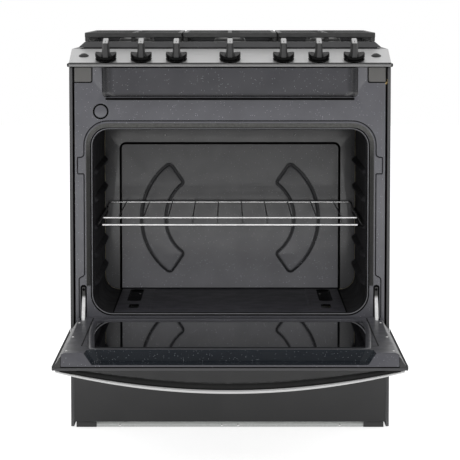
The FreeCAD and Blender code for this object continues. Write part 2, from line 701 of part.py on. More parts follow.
def hinge_arms():
    world = [(PIVOT_Y + dy, PIVOT_Z + dz) for dy, dz in ARM_OUTLINE]
    half = ARM_THICKNESS / 2
    web = prism_x(world, HINGE_X - half, HINGE_X + half)
    boss = rod(ARM_BOSS_RADIUS, (HINGE_X - half, PIVOT_Y, PIVOT_Z), (HINGE_X + half, PIVOT_Y, PIVOT_Z))
    bore = rod(PIN_RADIUS + PIN_CLEARANCE, (HINGE_X - 9, PIVOT_Y, PIVOT_Z), (HINGE_X + 9, PIVOT_Y, PIVOT_Z))
    return both_sides(web.fuse(boss).cut(bore).removeSplitter())


def door_handle():
    sag = HANDLE_END_V - HANDLE_MID_V
    radius = (HANDLE_HALF_SPAN ** 2 + sag ** 2) / (2 * sag)
    half_angle = math.degrees(math.asin(HANDLE_HALF_SPAN / radius))
    y, z_mid = door_point(HANDLE_PLACE, HANDLE_MID_V)
    centre = Vector(0, y, z_mid + radius)
    ring = Part.makeTorus(radius, HANDLE_RADIUS, centre, Vector(0, 1, 0))
    bore = Part.makeTorus(radius, HANDLE_RADIUS - HANDLE_WALL, centre, Vector(0, 1, 0))
    reach = HANDLE_HALF_SPAN + 20
    drop = reach / math.tan(math.radians(half_angle))
    corners = [centre, centre + Vector(reach, 0, -drop), centre + Vector(-reach, 0, -drop)]
    wedge = Part.Face(Part.makePolygon(corners + corners[:1])).extrude(Vector(0, 60, 0))
    wedge.translate(Vector(0, -30, 0))
    above_face = door_box(-reach, reach, HANDLE_PLACE - 40, HANDLE_PLACE + 40, DOOR_OUTER, 0)
    bar = ring.cut(bore).common(wedge).cut(above_face)
    foot_y, foot_z = door_point(HANDLE_PLACE, 0)
    foot = box(HANDLE_HALF_SPAN - HANDLE_FOOT_HALF_WIDTH, HANDLE_HALF_SPAN + HANDLE_FOOT_HALF_WIDTH,
               foot_y - HANDLE_FOOT_HALF_DEPTH, foot_y + HANDLE_FOOT_HALF_DEPTH,
               foot_z + HANDLE_END_V - HANDLE_FOOT_DROP, foot_z + DOOR_OUTER)
    return bar.fuse([foot, mirrored(foot)]).removeSplitter()


def door_side_trims():
    trim = door_box(LINER_HALF + 0.5, DOOR_HALF - DOOR_SHEET - 0.3, -8, DOOR_LENGTH, TRIM_LOW, TRIM_HIGH)
    return both_sides(trim)


def door_screws():
    solids = []
    for x in (-DOOR_SCREW_X, DOOR_SCREW_X):
        for along in DOOR_SCREW_ALONG:
            y, z = door_point(along, DOOR_INNER)
            solids.append(rod(DOOR_SCREW_RADIUS, (x, y, z), (x, y, z + DOOR_SCREW_HEIGHT)))
    return Part.makeCompound(solids)


# ---- drawer ----------------------------------------------------------------
def drawer_front():
    outer = rounded_box((-DRAWER_HALF, DRAWER_HALF, DRAWER_FACE_Y, DRAWER_BACK_OF_FRONT,
                         DRAWER_BOTTOM, DRAWER_TOP), DRAWER_CORNER, Vector(0, 1, 0))
    wall = DRAWER_SHEET
    hollow = box(-DRAWER_HALF + wall, DRAWER_HALF - wall, DRAWER_FACE_Y + wall, DRAWER_BACK_OF_FRONT + 1,
                 DRAWER_BOTTOM + wall, DRAWER_TOP - wall)
    return outer.cut(hollow)


def drawer_box():
    outer = box(-BOX_HALF, BOX_HALF, DRAWER_BACK_OF_FRONT, BOX_BACK, BOX_BOTTOM, BOX_TOP)
    inner = box(-BOX_HALF + BOX_SHEET, BOX_HALF - BOX_SHEET, DRAWER_BACK_OF_FRONT + BOX_SHEET,
                BOX_BACK - BOX_SHEET, BOX_BOTTOM + BOX_SHEET, BOX_TOP + 1)
    runner = box(BOX_HALF, BOX_HALF + RUNNER_WIDTH, RUNNER_FRONT, BOX_BACK, RUNNER_Z - RUNNER_HALF_HEIGHT,
                 RUNNER_Z + RUNNER_HALF_HEIGHT)
    flange = box(-DRAWER_HALF + 6, DRAWER_HALF - 6, DRAWER_BACK_OF_FRONT, DRAWER_BACK_OF_FRONT + BOX_SHEET,
                 BOX_BOTTOM, DRAWER_TOP - 6)
    pan = outer.cut(inner).fuse(flange).removeSplitter()
    return Part.makeCompound([pan, runner, mirrored(runner)])


def drawer_guides():
    slot_half = RUNNER_HALF_HEIGHT + RUNNER_CLEARANCE
    channel = box(GUIDE_X[0], GUIDE_X[1], GUIDE_FRONT, GUIDE_BACK, RUNNER_Z - slot_half - GUIDE_WALL,
                  RUNNER_Z + slot_half + GUIDE_WALL)
    groove = box(GUIDE_X[0] - 1, GUIDE_GROOVE_X, GUIDE_FRONT - 1, GUIDE_BACK + 1, RUNNER_Z - slot_half,
                 RUNNER_Z + slot_half)
    arms = [box(GUIDE_X[1], BODY_HALF - SIDE_SHEET, y, y + GUIDE_ARM_LENGTH,
                RUNNER_Z - GUIDE_ARM_HALF_HEIGHT, RUNNER_Z + GUIDE_ARM_HALF_HEIGHT) for y in GUIDE_ARM_Y]
    return both_sides(channel.cut(groove).fuse(arms).removeSplitter())


# ---- control panel -----------------------------------------------------------
def on_panel(shape, x, setback):
    """Place a shape, drawn with Z up from the panel's surface, on the sloping panel."""
    tilt = math.radians(PANEL_TILT)
    spot = Vector(x, NOSE_Y + setback * math.cos(tilt), NOSE_TOP + setback * math.sin(tilt))
    placed = shape.copy()
    placed.Placement = FreeCAD.Placement(spot, FreeCAD.Rotation(Vector(1, 0, 0), PANEL_TILT))
    return placed


def control_panel():
    skin = PANEL_SHEET
    outer = [(NOSE_Y, NOSE_BOTTOM), (NOSE_Y, NOSE_TOP), (PANEL_REAR_Y, PANEL_REAR_Z),
             (PANEL_REAR_Y, PANEL_REAR_Z - 12), (PANEL_REAR_Y - skin, PANEL_REAR_Z - 12),
             (PANEL_REAR_Y - skin, PANEL_REAR_Z - skin - 1), (NOSE_Y + skin, NOSE_TOP - skin),
             (NOSE_Y + skin, NOSE_BOTTOM + skin), (FRONT_Y + 1, NOSE_BOTTOM + skin),
             (FRONT_Y + 1, NOSE_BOTTOM)]
    sheet = prism_x(outer, -PANEL_HALF, PANEL_HALF)
    end_outline = [(NOSE_Y, NOSE_BOTTOM), (NOSE_Y, NOSE_TOP), (PANEL_REAR_Y, PANEL_REAR_Z),
                   (PANEL_REAR_Y, NOSE_BOTTOM)]
    end = prism_x(end_outline, PANEL_HALF - skin, PANEL_HALF)
    cuts = []
    for x in KNOB_X + (0.0,):
        hole = Part.makeCylinder(PANEL_HOLE_RADIUS, 20, Vector(0, 0, -10))
        cuts.append(on_panel(hole, x, KNOB_SETBACK))
    for x in (-BUTTON_X, BUTTON_X):
        hole = Part.makeCylinder(BUTTON_RADIUS + BUTTON_HOLE_CLEARANCE, 20, Vector(0, 0, -10))
        cuts.append(on_panel(hole, x, BUTTON_SETBACK))
    return sheet.fuse([end, mirrored(end)]).cut(cuts).removeSplitter()


def panel_end_caps():
    low = PANEL_HALF + END_CAP_GAP
    high = low + END_CAP_WIDTH
    cap = box(low, high, NOSE_Y, FRONT_Y - 0.5, NOSE_BOTTOM, NOSE_TOP)
    corner = [edge for edge in cap.Edges if all(vertex.X > high - 1e-6 for vertex in edge.Vertexes)]
    return both_sides(cap.makeFillet(END_CAP_ROUND, corner))


def knob_bezels():
    ring = Part.makeCylinder(BEZEL_RADIUS, BEZEL_HEIGHT).cut(Part.makeCylinder(PANEL_HOLE_RADIUS, 20))
    return Part.makeCompound([on_panel(ring, x, KNOB_SETBACK) for x in KNOB_X + (0.0,)])


def knob(x):
    skirt = Part.makeCylinder(BEZEL_RADIUS, SKIRT_TOP - SKIRT_BOTTOM, Vector(0, 0, SKIRT_BOTTOM))
    grip = rounded_box((-GRIP_WIDTH / 2, GRIP_WIDTH / 2, -GRIP_LENGTH / 2, GRIP_LENGTH / 2,
                        SKIRT_TOP, GRIP_TOP), 5.0, Vector(0, 0, 1))
    bore = Part.makeCylinder(STEM_RADIUS + STEM_CLEARANCE, STEM_TOP + 1 - SKIRT_BOTTOM + 1,
                             Vector(0, 0, SKIRT_BOTTOM - 1))
    return on_panel(skirt.fuse(grip).cut(bore), x, KNOB_SETBACK)


def valve_stem(x):
    stem = Part.makeCylinder(STEM_RADIUS, STEM_TOP - STEM_BOTTOM, Vector(0, 0, STEM_BOTTOM))
    return on_panel(stem, x, KNOB_SETBACK)


def gas_valves():
    solids = []
    body = Part.makeCylinder(VALVE_RADIUS, VALVE_TOP - VALVE_BOTTOM, Vector(0, 0, VALVE_BOTTOM))
    bore = Part.makeCylinder(STEM_RADIUS + STEM_CLEARANCE, 60, Vector(0, 0, STEM_BOTTOM - 5))
    for x in KNOB_X:
        solids.append(on_panel(body.cut(bore), x, KNOB_SETBACK))
    oven_stem = Part.makeCylinder(STEM_RADIUS, STEM_TOP - VALVE_TOP, Vector(0, 0, VALVE_TOP))
    solids.append(on_panel(body.fuse(oven_stem), 0.0, KNOB_SETBACK))
    return Part.makeCompound(solids)


def manifold_centre():
    """World (y, z) of the manifold's axis, straight below the knobs along their own axis."""
    tilt = math.radians(PANEL_TILT)
    y = NOSE_Y + KNOB_SETBACK * math.cos(tilt) + MANIFOLD_DROP * math.sin(tilt)
    z = NOSE_TOP + KNOB_SETBACK * math.sin(tilt) - MANIFOLD_DROP * math.cos(tilt)
    return y, z


def gas_manifold():
    y, z = manifold_centre()
    return rod(MANIFOLD_RADIUS, (MANIFOLD_END_X, y, z), (SUPPLY_X - SUPPLY_RADIUS - 0.5, y, z))


def gas_supply_pipe():
    y, z = manifold_centre()
    points = [(INLET_X, REAR_Y - 6, INLET_Z), (INLET_X, SUPPLY_Y, INLET_Z), (SUPPLY_X, SUPPLY_Y, INLET_Z),
              (SUPPLY_X, SUPPLY_Y, z), (SUPPLY_X, y - 8, z)]
    run = pipe(SUPPLY_RADIUS, points)
    thread = rod(INLET_RADIUS, (INLET_X, REAR_Y - 8, INLET_Z), (INLET_X, REAR_Y - 8 + INLET_LENGTH, INLET_Z))
    regulator = rod(REGULATOR_RADIUS, (INLET_X - 5, SUPPLY_Y, INLET_Z), (INLET_X + 30, SUPPLY_Y, INLET_Z))
    return run.fuse([thread, regulator]).removeSplitter()


def push_button(side):
    bottom = BUTTON_BODY_BOTTOM
    body = Part.makeCylinder(BUTTON_RADIUS, BUTTON_SHOULDER - bottom, Vector(0, 0, bottom))
    ball_centre = BUTTON_SHOULDER - math.sqrt(BUTTON_DOME_RADIUS ** 2 - BUTTON_RADIUS ** 2)
    ball = Part.makeSphere(BUTTON_DOME_RADIUS, Vector(0, 0, ball_centre))
    cap = ball.common(Part.makeCylinder(BUTTON_RADIUS, BUTTON_DOME_RADIUS, Vector(0, 0, BUTTON_SHOULDER)))
    stem = Part.makeCylinder(BUTTON_STEM_RADIUS, bottom - BUTTON_STEM_BOTTOM, Vector(0, 0, BUTTON_STEM_BOTTOM))
    return on_panel(body.fuse([cap, stem]), side * BUTTON_X, BUTTON_SETBACK)


def cord_inlet_bush():
    outside = REAR_Y - REAR_PANEL_SETBACK
    inside = outside - REAR_PANEL_SHEET
    flange = rod(BUSH_FLANGE_RADIUS, (CORD_X, outside, CORD_Z), (CORD_X, REAR_Y + 3, CORD_Z))
    body = rod(BUSH_RADIUS, (CORD_X, inside - 8, CORD_Z), (CORD_X, REAR_Y, CORD_Z))
    bore = rod(CORD_BORE, (CORD_X, inside - 10, CORD_Z), (CORD_X, REAR_Y + 5, CORD_Z))
    return flange.fuse(body).cut(bore)


# ---- cooktop -----------------------------------------------------------------
def cooktop():
    low = [(-TOP_BOTTOM_HALF, TOP_FRONT, TOP_UNDERSIDE), (TOP_BOTTOM_HALF, TOP_FRONT, TOP_UNDERSIDE),
           (TOP_BOTTOM_HALF, TOP_REAR, TOP_UNDERSIDE), (-TOP_BOTTOM_HALF, TOP_REAR, TOP_UNDERSIDE)]
    high = [(-TOP_UPPER_HALF, TOP_FRONT + 5, TOP_LIP), (TOP_UPPER_HALF, TOP_FRONT + 5, TOP_LIP),
            (TOP_UPPER_HALF, TOP_REAR, TOP_LIP), (-TOP_UPPER_HALF, TOP_REAR, TOP_LIP)]
    deck = frustum(low, high)
    rim = box(-TOP_RIM_HALF, TOP_RIM_HALF, TOP_FRONT + 7, TOP_REAR - 5, SIDE_TOP, TOP_UNDERSIDE)
    hollow_half = TOP_RIM_HALF - TOP_RIM_WALL
    rim_hollow = box(-hollow_half, hollow_half, TOP_FRONT + 7 + TOP_RIM_WALL, TOP_REAR - 5 - TOP_RIM_WALL,
                     SIDE_TOP - 1, WELL_FLOOR - 3)
    well = rounded_box((-WELL_HALF, WELL_HALF, WELL_FRONT, WELL_REAR, WELL_FLOOR, TOP_LIP + 10), WELL_CORNER,
                       Vector(0, 0, 1))
    cuts = [rim_hollow, well]
    for x in BURNER_X:
        for y in BURNER_Y:
            cuts.append(rod(BURNER_HOLE, (x, y, SIDE_TOP - 5), (x, y, TOP_LIP)))
    return deck.fuse(rim).cut(cuts).removeSplitter()


def rear_vent_trim():
    bar = box(-TOP_UPPER_HALF + 2, TOP_UPPER_HALF - 2, TRIM_FRONT, TOP_REAR, TOP_LIP, TRIM_TOP)
    starts = [TRIM_SLOT_START + TRIM_SLOT_PITCH * number for number in range(TRIM_SLOT_COUNT)]
    cuts = [box(x, x + TRIM_SLOT_LENGTH, *TRIM_SLOT_Y, TRIM_SLOT_FLOOR, TRIM_TOP + 1) for x in starts]
    return bar.cut(cuts)


def burner_heads():
    head = rod(BURNER_RADIUS, (0, 0, WELL_FLOOR), (0, 0, HEAD_TOP))
    throat = rod(BURNER_THROAT, (0, 0, WELL_FLOOR - 14), (0, 0, WELL_FLOOR))
    return on_burners(head.fuse(throat))


def burner_caps():
    return on_burners(rod(BURNER_RADIUS - 4, (0, 0, HEAD_TOP), (0, 0, CAP_TOP)))


def on_burners(shape):
    """One copy of a shape, drawn about the Z axis, at each burner."""
    solids = []
    for x in BURNER_X:
        for y in BURNER_Y:
            copy = shape.copy()
            copy.translate(Vector(x, y, 0))
            solids.append(copy)
    return Part.makeCompound(solids)


def grate(x_low, x_high):
    low = GRATE_TOP - GRATE_BAR_HEIGHT
    half = GRATE_BAR_WIDTH / 2
    middle_x = (x_low + x_high) / 2
    middle_y = sum(BURNER_Y) / 2
    bars = [box(x_low, x_high, y, y + GRATE_BAR_WIDTH, low, GRATE_TOP)
            for y in (GRATE_FRONT, middle_y - half, GRATE_REAR - GRATE_BAR_WIDTH)]
    bars += [box(x, x + GRATE_BAR_WIDTH, GRATE_FRONT, GRATE_REAR, low, GRATE_TOP)
             for x in (x_low, x_high - GRATE_BAR_WIDTH)]
    gap = GRATE_FINGER_GAP
    for y in BURNER_Y:
        bars.append(box(x_low, middle_x - gap, y - half, y + half, low, GRATE_TOP))
        bars.append(box(middle_x + gap, x_high, y - half, y + half, low, GRATE_TOP))
    for y_start, y_end in ((GRATE_FRONT, BURNER_Y[0] - gap), (BURNER_Y[0] + gap, BURNER_Y[1] - gap),
                           (BURNER_Y[1] + gap, GRATE_REAR)):
        bars.append(box(middle_x - half, middle_x + half, y_start, y_end, low, GRATE_TOP))
    for x in (x_low, middle_x - half, x_high - GRATE_BAR_WIDTH):
        for y in (GRATE_FRONT + GRATE_LEG, GRATE_REAR - 2 * GRATE_LEG):
            over_well = WELL_FRONT < y and y + GRATE_LEG < WELL_REAR and abs(x) < WELL_HALF - 18
            leg_foot = WELL_FLOOR + 0.2 if over_well else TOP_LIP
            bars.append(box(x, x + GRATE_BAR_WIDTH, y, y + GRATE_LEG, leg_foot + 0.2, low))
    return bars[0].fuse(bars[1:]).removeSplitter()


# ---- rack --------------------------------------------------------------------
def oven_rack():
    rail = RACK_RAIL_RADIUS
    z_rail = RACK_RAIL_Z
    frame = pipe(rail, [(-RACK_RAIL_X, RACK_REAR + 14, z_rail), (-RACK_RAIL_X, RACK_FRONT, z_rail),
                        (RACK_RAIL_X, RACK_FRONT, z_rail), (RACK_RAIL_X, RACK_REAR + 14, z_rail)])
    wire = RACK_WIRE_RADIUS
    z_deck = RACK_DECK_Z
    parts = []
    for y in RACK_CROSS_WIRES:
        points = [(-RACK_RAIL_X, y, z_rail), (-RACK_DECK_HALF, y, z_deck), (RACK_DECK_HALF, y, z_deck),
                  (RACK_RAIL_X, y, z_rail)]
        parts.append(pipe(wire + 0.4, points))
    for index in range(RACK_WIRE_COUNT):
        x = (index - (RACK_WIRE_COUNT - 1) / 2) * RACK_WIRE_PITCH
        points = [(x, RACK_REAR + 4, z_deck), (x, RACK_FRONT + 4, z_deck), (x, RACK_FRONT, z_rail)]
        parts.append(pipe(wire, points))
    return frame.fuse(parts)


def build_parts():
    shapes = {
        "base_frame": base_frame(),
        "corner_brackets": corner_brackets(),
        "side_panel_right": side_panel(),
        "side_panel_left": mirrored(side_panel()),
        "rear_panel": rear_panel(),
        "front_frame": front_frame(),
        "frame_hole_plug": frame_hole_plug(),
        "panel_corner_brackets": panel_corner_brackets(),
        "chassis_screws": chassis_screws(),
        "oven_liner": oven_liner(),
        "oven_back_wall": oven_back_wall(),
        "oven_floor_panel": oven_floor_panel(),
        "oven_burners": oven_burners(),
        "oven_lamp": oven_lamp(),
        "door_gasket": door_gasket(),
        "oven_insulation": oven_insulation(),
        "hinge_arms": hinge_arms(),
        "door_outer_panel": door_outer_panel(),
        "door_outer_glass": door_outer_glass(),
        "door_inner_liner": door_inner_liner(),
        "door_inner_glass": door_inner_glass(),
        "door_insulation": door_insulation(),
        "door_hinge_bodies": door_hinge_bodies(),
        "door_hinge_pins": door_hinge_pins(),
        "door_handle": door_handle(),
        "door_side_trims": door_side_trims(),
        "door_screws": door_screws(),
        "drawer_front": drawer_front(),
        "drawer_box": drawer_box(),
        "drawer_guides": drawer_guides(),
        "control_panel": control_panel(),
        "panel_end_caps": panel_end_caps(),
        "knob_bezels": knob_bezels(),
        "gas_valves": gas_valves(),
        "gas_manifold": gas_manifold(),
        "gas_supply_pipe": gas_supply_pipe(),
        "ignition_button": push_button(-1),
        "light_button": push_button(1),
        "cord_inlet_bush": cord_inlet_bush(),
        "cooktop": cooktop(),
        "rear_vent_trim": rear_vent_trim(),
        "burner_heads": burner_heads(),
        "burner_caps": burner_caps(),
        "grate_left": mirrored(grate(*SIDE_GRATE)),
        "grate_centre": grate(-CENTRE_GRATE_HALF, CENTRE_GRATE_HALF),
        "grate_right": grate(*SIDE_GRATE),
        "oven_rack": oven_rack(),
        "oven_knob": knob(0.0),
    }
    for number, x in enumerate(KNOB_X, start=1):
        shapes[f"burner_knob_{number}"] = knob(x)
        shapes[f"valve_stem_{number}"] = valve_stem(x)
    return shapes


os.makedirs("parts", exist_ok=True)
for name, shape in build_parts().items():
    solids = shape.Solids
    print(f"{name:24s} solids {len(solids):2d} valid {shape.isValid()} volume {shape.Volume:12.0f}")
    shape.exportStep(f"parts/{name}.step")
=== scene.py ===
import json
import math

import bmesh
import bpy
from mathutils import Matrix, Vector
from mathutils.geometry import tessellate_polygon


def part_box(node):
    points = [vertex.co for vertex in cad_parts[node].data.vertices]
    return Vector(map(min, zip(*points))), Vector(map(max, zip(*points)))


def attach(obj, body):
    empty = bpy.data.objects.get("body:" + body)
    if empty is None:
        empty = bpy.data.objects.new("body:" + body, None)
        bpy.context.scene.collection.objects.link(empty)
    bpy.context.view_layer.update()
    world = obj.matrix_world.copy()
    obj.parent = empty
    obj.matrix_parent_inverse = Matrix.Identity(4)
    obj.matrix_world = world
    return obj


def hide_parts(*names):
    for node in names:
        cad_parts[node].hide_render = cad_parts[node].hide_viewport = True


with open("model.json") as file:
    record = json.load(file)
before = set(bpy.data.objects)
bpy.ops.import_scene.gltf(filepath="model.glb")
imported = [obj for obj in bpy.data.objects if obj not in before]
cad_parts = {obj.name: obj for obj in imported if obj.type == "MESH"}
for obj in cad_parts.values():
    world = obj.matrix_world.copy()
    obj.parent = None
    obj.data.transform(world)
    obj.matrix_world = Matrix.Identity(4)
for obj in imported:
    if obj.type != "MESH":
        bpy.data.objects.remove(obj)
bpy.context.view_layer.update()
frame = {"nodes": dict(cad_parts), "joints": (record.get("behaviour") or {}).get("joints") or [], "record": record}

# Everything below is written in millimetres and turned into metres as each mesh is made.
MM = 0.001


def limits(node):
    """Lowest and highest corner of a CAD node, in millimetres."""
    low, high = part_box(node)
    return low / MM, high / MM


# ---- places taken from the CAD frame ----------------------------------------------
FRAME_LOW, FRAME_HIGH = limits("front_frame")
BLOCK_DEPTH = 20.0
FRONT = FRAME_LOW.y + BLOCK_DEPTH
LINER_LOW, LINER_HIGH = limits("oven_liner")
BACK_LOW, BACK_HIGH = limits("oven_back_wall")
FLOOR_LOW, FLOOR_HIGH = limits("oven_floor_panel")
GASKET_LOW, GASKET_HIGH = limits("door_gasket")
DOOR_LOW, DOOR_HIGH = limits("door_inner_liner")
OUTER_LOW, OUTER_HIGH = limits("door_outer_panel")
GLASS_HIGH = limits("door_inner_glass")[1]
HANDLE_LOW, HANDLE_HIGH = limits("door_handle")
PANEL_LOW, PANEL_HIGH = limits("control_panel")
BASE_LOW = limits("base_frame")[0]
RACK_LOW, RACK_HIGH = limits("oven_rack")
PIVOT = Vector(frame["joints"][0]["pos_m"]) / MM

# ---- sizes that the looks add ------------------------------------------------------
OPENING_HALF = 323.5
OPENING_BOTTOM = 274.7
OPENING_TOP = 709.2
OPENING_TOP_RADIUS = 38.0
OPENING_LOW_RADIUS = 46.0
GROOVE_HALF_WIDTH = 1.5
GROOVE_DEPTH = 4.0
PLUG_X = -304.5
PLUG_Z = 752.3
PLUG_RADIUS = 14.6
PLUG_RING = 18.6
HINGE_X = 347.0
SLOT_HALF = 7.5
SLOT_BOTTOM = 262.7
SLOT_TOP = 341.5
BLOCK_BASE_HALF = 301.5
BLOCK_FACE_HALF = 276.0
BLOCK_BOTTOM = 787.6
PLATE_INNER = 326.0
PLATE_LOW = 822.0
KNOB_SETBACK = 26.5
KNOB_X = (-292.0, -209.0, -126.0, 126.0, 209.0, 292.0)
BUTTON_SETBACK = 62.0
BUTTON_X = 346.0
BURNER_X = (-232.0, 0.0, 232.0)
BURNER_Y = (-85.0, 165.0)

# ---- camera ----------------------------------------------------------------------
CAMERA_DISTANCE = 5756.0
CAMERA_HEIGHT = 1009.0
CAMERA_PITCH = 5.33
CAMERA_LENS = 191.27

# ---- studio light ------------------------------------------------------------------
WORLD_FRONT = 0.28
WORLD_ABOVE = 0.85
FRONT_LIGHT = 200.0
TOP_LIGHT = 60.0
FLOOR_GLOW = 0.8
FLOOR_ALBEDO = 0.5
FLOOR_RADIUS = 14.0


def make_camera():
    """The camera in front of the range, tilted a little down."""
    data = bpy.data.cameras.new("camera")
    data.sensor_width = 36.0
    data.lens = CAMERA_LENS
    data.clip_end = 200.0
    camera = bpy.data.objects.new("camera", data)
    camera.location = (0.0, (FRONT - CAMERA_DISTANCE) * MM, CAMERA_HEIGHT * MM)
    camera.rotation_euler = (math.radians(90.0 - CAMERA_PITCH), 0.0, 0.0)
    bpy.context.scene.collection.objects.link(camera)
    bpy.context.scene.camera = camera


def soft_light(name, place, target, size, power):
    """A large square lamp pointed at a target, all in metres; it lights but isn't mirrored."""
    data = bpy.data.lights.new(name, "AREA")
    data.shape = "SQUARE"
    data.size = size
    data.energy = power
    lamp = bpy.data.objects.new(name, data)
    lamp.location = place
    direction = Vector(target) - Vector(place)
    lamp.rotation_euler = direction.to_track_quat("-Z", "Y").to_euler()
    lamp.visible_glossy = False
    bpy.context.scene.collection.objects.link(lamp)


def make_world():
    """White to look at; as a light it is bright above and behind, and dimmer in front."""
    world = bpy.data.worlds.new("studio")
    world.use_nodes = True
    tree = world.node_tree
    links = tree.links

    def ranged(value, low, high, to_low, to_high):
        node = tree.nodes.new("ShaderNodeMapRange")
        node.interpolation_type = "SMOOTHSTEP"
        links.new(value, node.inputs["Value"])
        settings = {"From Min": low, "From Max": high, "To Min": to_low, "To Max": to_high}
        for socket, number in settings.items():
            node.inputs[socket].default_value = number
        return node.outputs["Result"]

    direction = tree.nodes.new("ShaderNodeTexCoord").outputs["Generated"]
    split = tree.nodes.new("ShaderNodeSeparateXYZ")
    links.new(direction, split.inputs["Vector"])
    above = ranged(split.outputs["Z"], 0.0, 0.7, WORLD_FRONT, WORLD_ABOVE)
    behind = ranged(split.outputs["Y"], -0.3, 0.7, WORLD_FRONT, WORLD_ABOVE)
    brightest = tree.nodes.new("ShaderNodeMath")
    brightest.operation = "MAXIMUM"
    links.new(above, brightest.inputs[0])
    links.new(behind, brightest.inputs[1])
    lighting = tree.nodes["Background"]
    links.new(brightest.outputs[0], lighting.inputs["Strength"])
    seen = tree.nodes.new("ShaderNodeBackground")
    mix = tree.nodes.new("ShaderNodeMixShader")
    for background in (lighting, seen):
        background.inputs["Color"].default_value = (1.0, 1.0, 1.0, 1.0)
    links.new(tree.nodes.new("ShaderNodeLightPath").outputs["Is Camera Ray"], mix.inputs[0])
    links.new(lighting.outputs[0], mix.inputs[1])
    links.new(seen.outputs[0], mix.inputs[2])
    links.new(mix.outputs[0], tree.nodes["World Output"].inputs["Surface"])
    bpy.context.scene.world = world


def make_studio():
    """The world's light, a lamp in front and a lamp overhead."""
    bpy.context.scene.view_settings.view_transform = "Standard"
    make_world()
    soft_light("front_light", (0.0, -7.5, 1.3), (0.0, 0.0, 0.5), 3.0, FRONT_LIGHT)
    soft_light("top_light", (0.0, -1.5, 5.0), (0.0, 0.0, 0.4), 4.0, TOP_LIGHT)


# ---- materials ---------------------------------------------------------------------
class Recipe:
    """A Principled material built up from procedural textures in the object's own space."""

    def __init__(self, name, colour, roughness, metallic=0.0, **sockets):
        self.material = bpy.data.materials.new(name)
        self.material.use_nodes = True
        self.tree = self.material.node_tree
        self.shader = self.tree.nodes["Principled BSDF"]
        self.colour = colour
        self.set(self.shader, {"Base Color": (*colour, 1.0), "Roughness": roughness, "Metallic": metallic})
        self.set(self.shader, sockets)
        self.place = self.node("ShaderNodeTexCoord").outputs["Object"]

    def set(self, node, inputs):
        """Give a node's inputs fixed values, or link them where the value is another node's output."""
        for socket, value in inputs.items():
            if isinstance(value, bpy.types.NodeSocket):
                self.tree.links.new(value, node.inputs[socket])
            else:
                node.inputs[socket].default_value = value

    def node(self, kind, inputs=None, **settings):
        """Add a node of one kind, with its settings and inputs."""
        made = self.tree.nodes.new(kind)
        for setting, value in settings.items():
            setattr(made, setting, value)
        self.set(made, inputs or {})
        return made

    def stretched(self, stretch):
        """The object's own coordinates, scaled along each axis."""
        mapping = self.node("ShaderNodeMapping", {"Vector": self.place, "Scale": stretch})
        return mapping.outputs["Vector"]

    def noise(self, size, detail=3.0, stretch=(1.0, 1.0, 1.0)):
        """Noise whose features are about size millimetres across."""
        inputs = {"Vector": self.stretched(stretch), "Scale": 1.0 / (size * MM), "Detail": detail}
        return self.node("ShaderNodeTexNoise", inputs).outputs["Fac"]

    def cells(self, size, output="Distance"):
        """Cells about size millimetres across."""
        inputs = {"Vector": self.place, "Scale": 1.0 / (size * MM)}
        return self.node("ShaderNodeTexVoronoi", inputs).outputs[output]

    def ranged(self, value, low, high, to_low, to_high):
        """A value carried over from one range to another."""
        inputs = {"Value": value, "From Min": low, "From Max": high, "To Min": to_low, "To Max": to_high}
        return self.node("ShaderNodeMapRange", inputs).outputs["Result"]

    def blended(self, factor, first, second):
        """A colour between two, each a colour triple or an output."""
        mix = self.node("ShaderNodeMix", data_type="RGBA")
        self.set(mix, {0: factor})
        for index, colour in ((6, first), (7, second)):
            self.set(mix, {index: colour if isinstance(colour, bpy.types.NodeSocket) else (*colour, 1.0)})
        return mix.outputs[2]

    def product(self, first, second):
        """Two values multiplied together."""
        return self.node("ShaderNodeMath", {0: first, 1: second}, operation="MULTIPLY").outputs[0]

    def mottled(self, size, spread, detail=3.0, stretch=(1.0, 1.0, 1.0)):
        """Base colour that drifts a little lighter and darker."""
        dark = tuple(channel * (1.0 - spread) for channel in self.colour)
        light = tuple(min(1.0, channel * (1.0 + spread)) for channel in self.colour)
        factor = self.ranged(self.noise(size, detail, stretch), 0.3, 0.7, 0.0, 1.0)
        colour = self.blended(factor, dark, light)
        self.set(self.shader, {"Base Color": colour})
        return colour

    def shaded(self, axis, start, end, at_start, at_end):
        """Scale the base colour along one axis of the piece, between two places in millimetres: painted light and
        shade.
        """
        split = self.node("ShaderNodeSeparateXYZ", {"Vector": self.place})
        factor = self.ranged(split.outputs[axis], start * MM, end * MM, at_start, at_end)
        colour = self.shader.inputs["Base Color"].links[0].from_socket
        scaled = self.node("ShaderNodeVectorMath", {"Vector": colour, "Scale": factor}, operation="SCALE")
        self.set(self.shader, {"Base Color": scaled.outputs["Vector"]})

    def rough_drift(self, size, low, high, detail=3.0, stretch=(1.0, 1.0, 1.0)):
        value = self.ranged(self.noise(size, detail, stretch), 0.3, 0.7, low, high)
        self.set(self.shader, {"Roughness": value})

    def bump(self, height, strength, depth):
        """Surface relief of a given depth in millimetres."""
        inputs = {"Height": height, "Strength": strength, "Distance": depth * MM}
        relief = self.node("ShaderNodeBump", inputs)
        if self.shader.inputs["Normal"].is_linked:
            self.set(relief, {"Normal": self.shader.inputs["Normal"].links[0].from_socket})
        self.set(self.shader, {"Normal": relief.outputs["Normal"]})


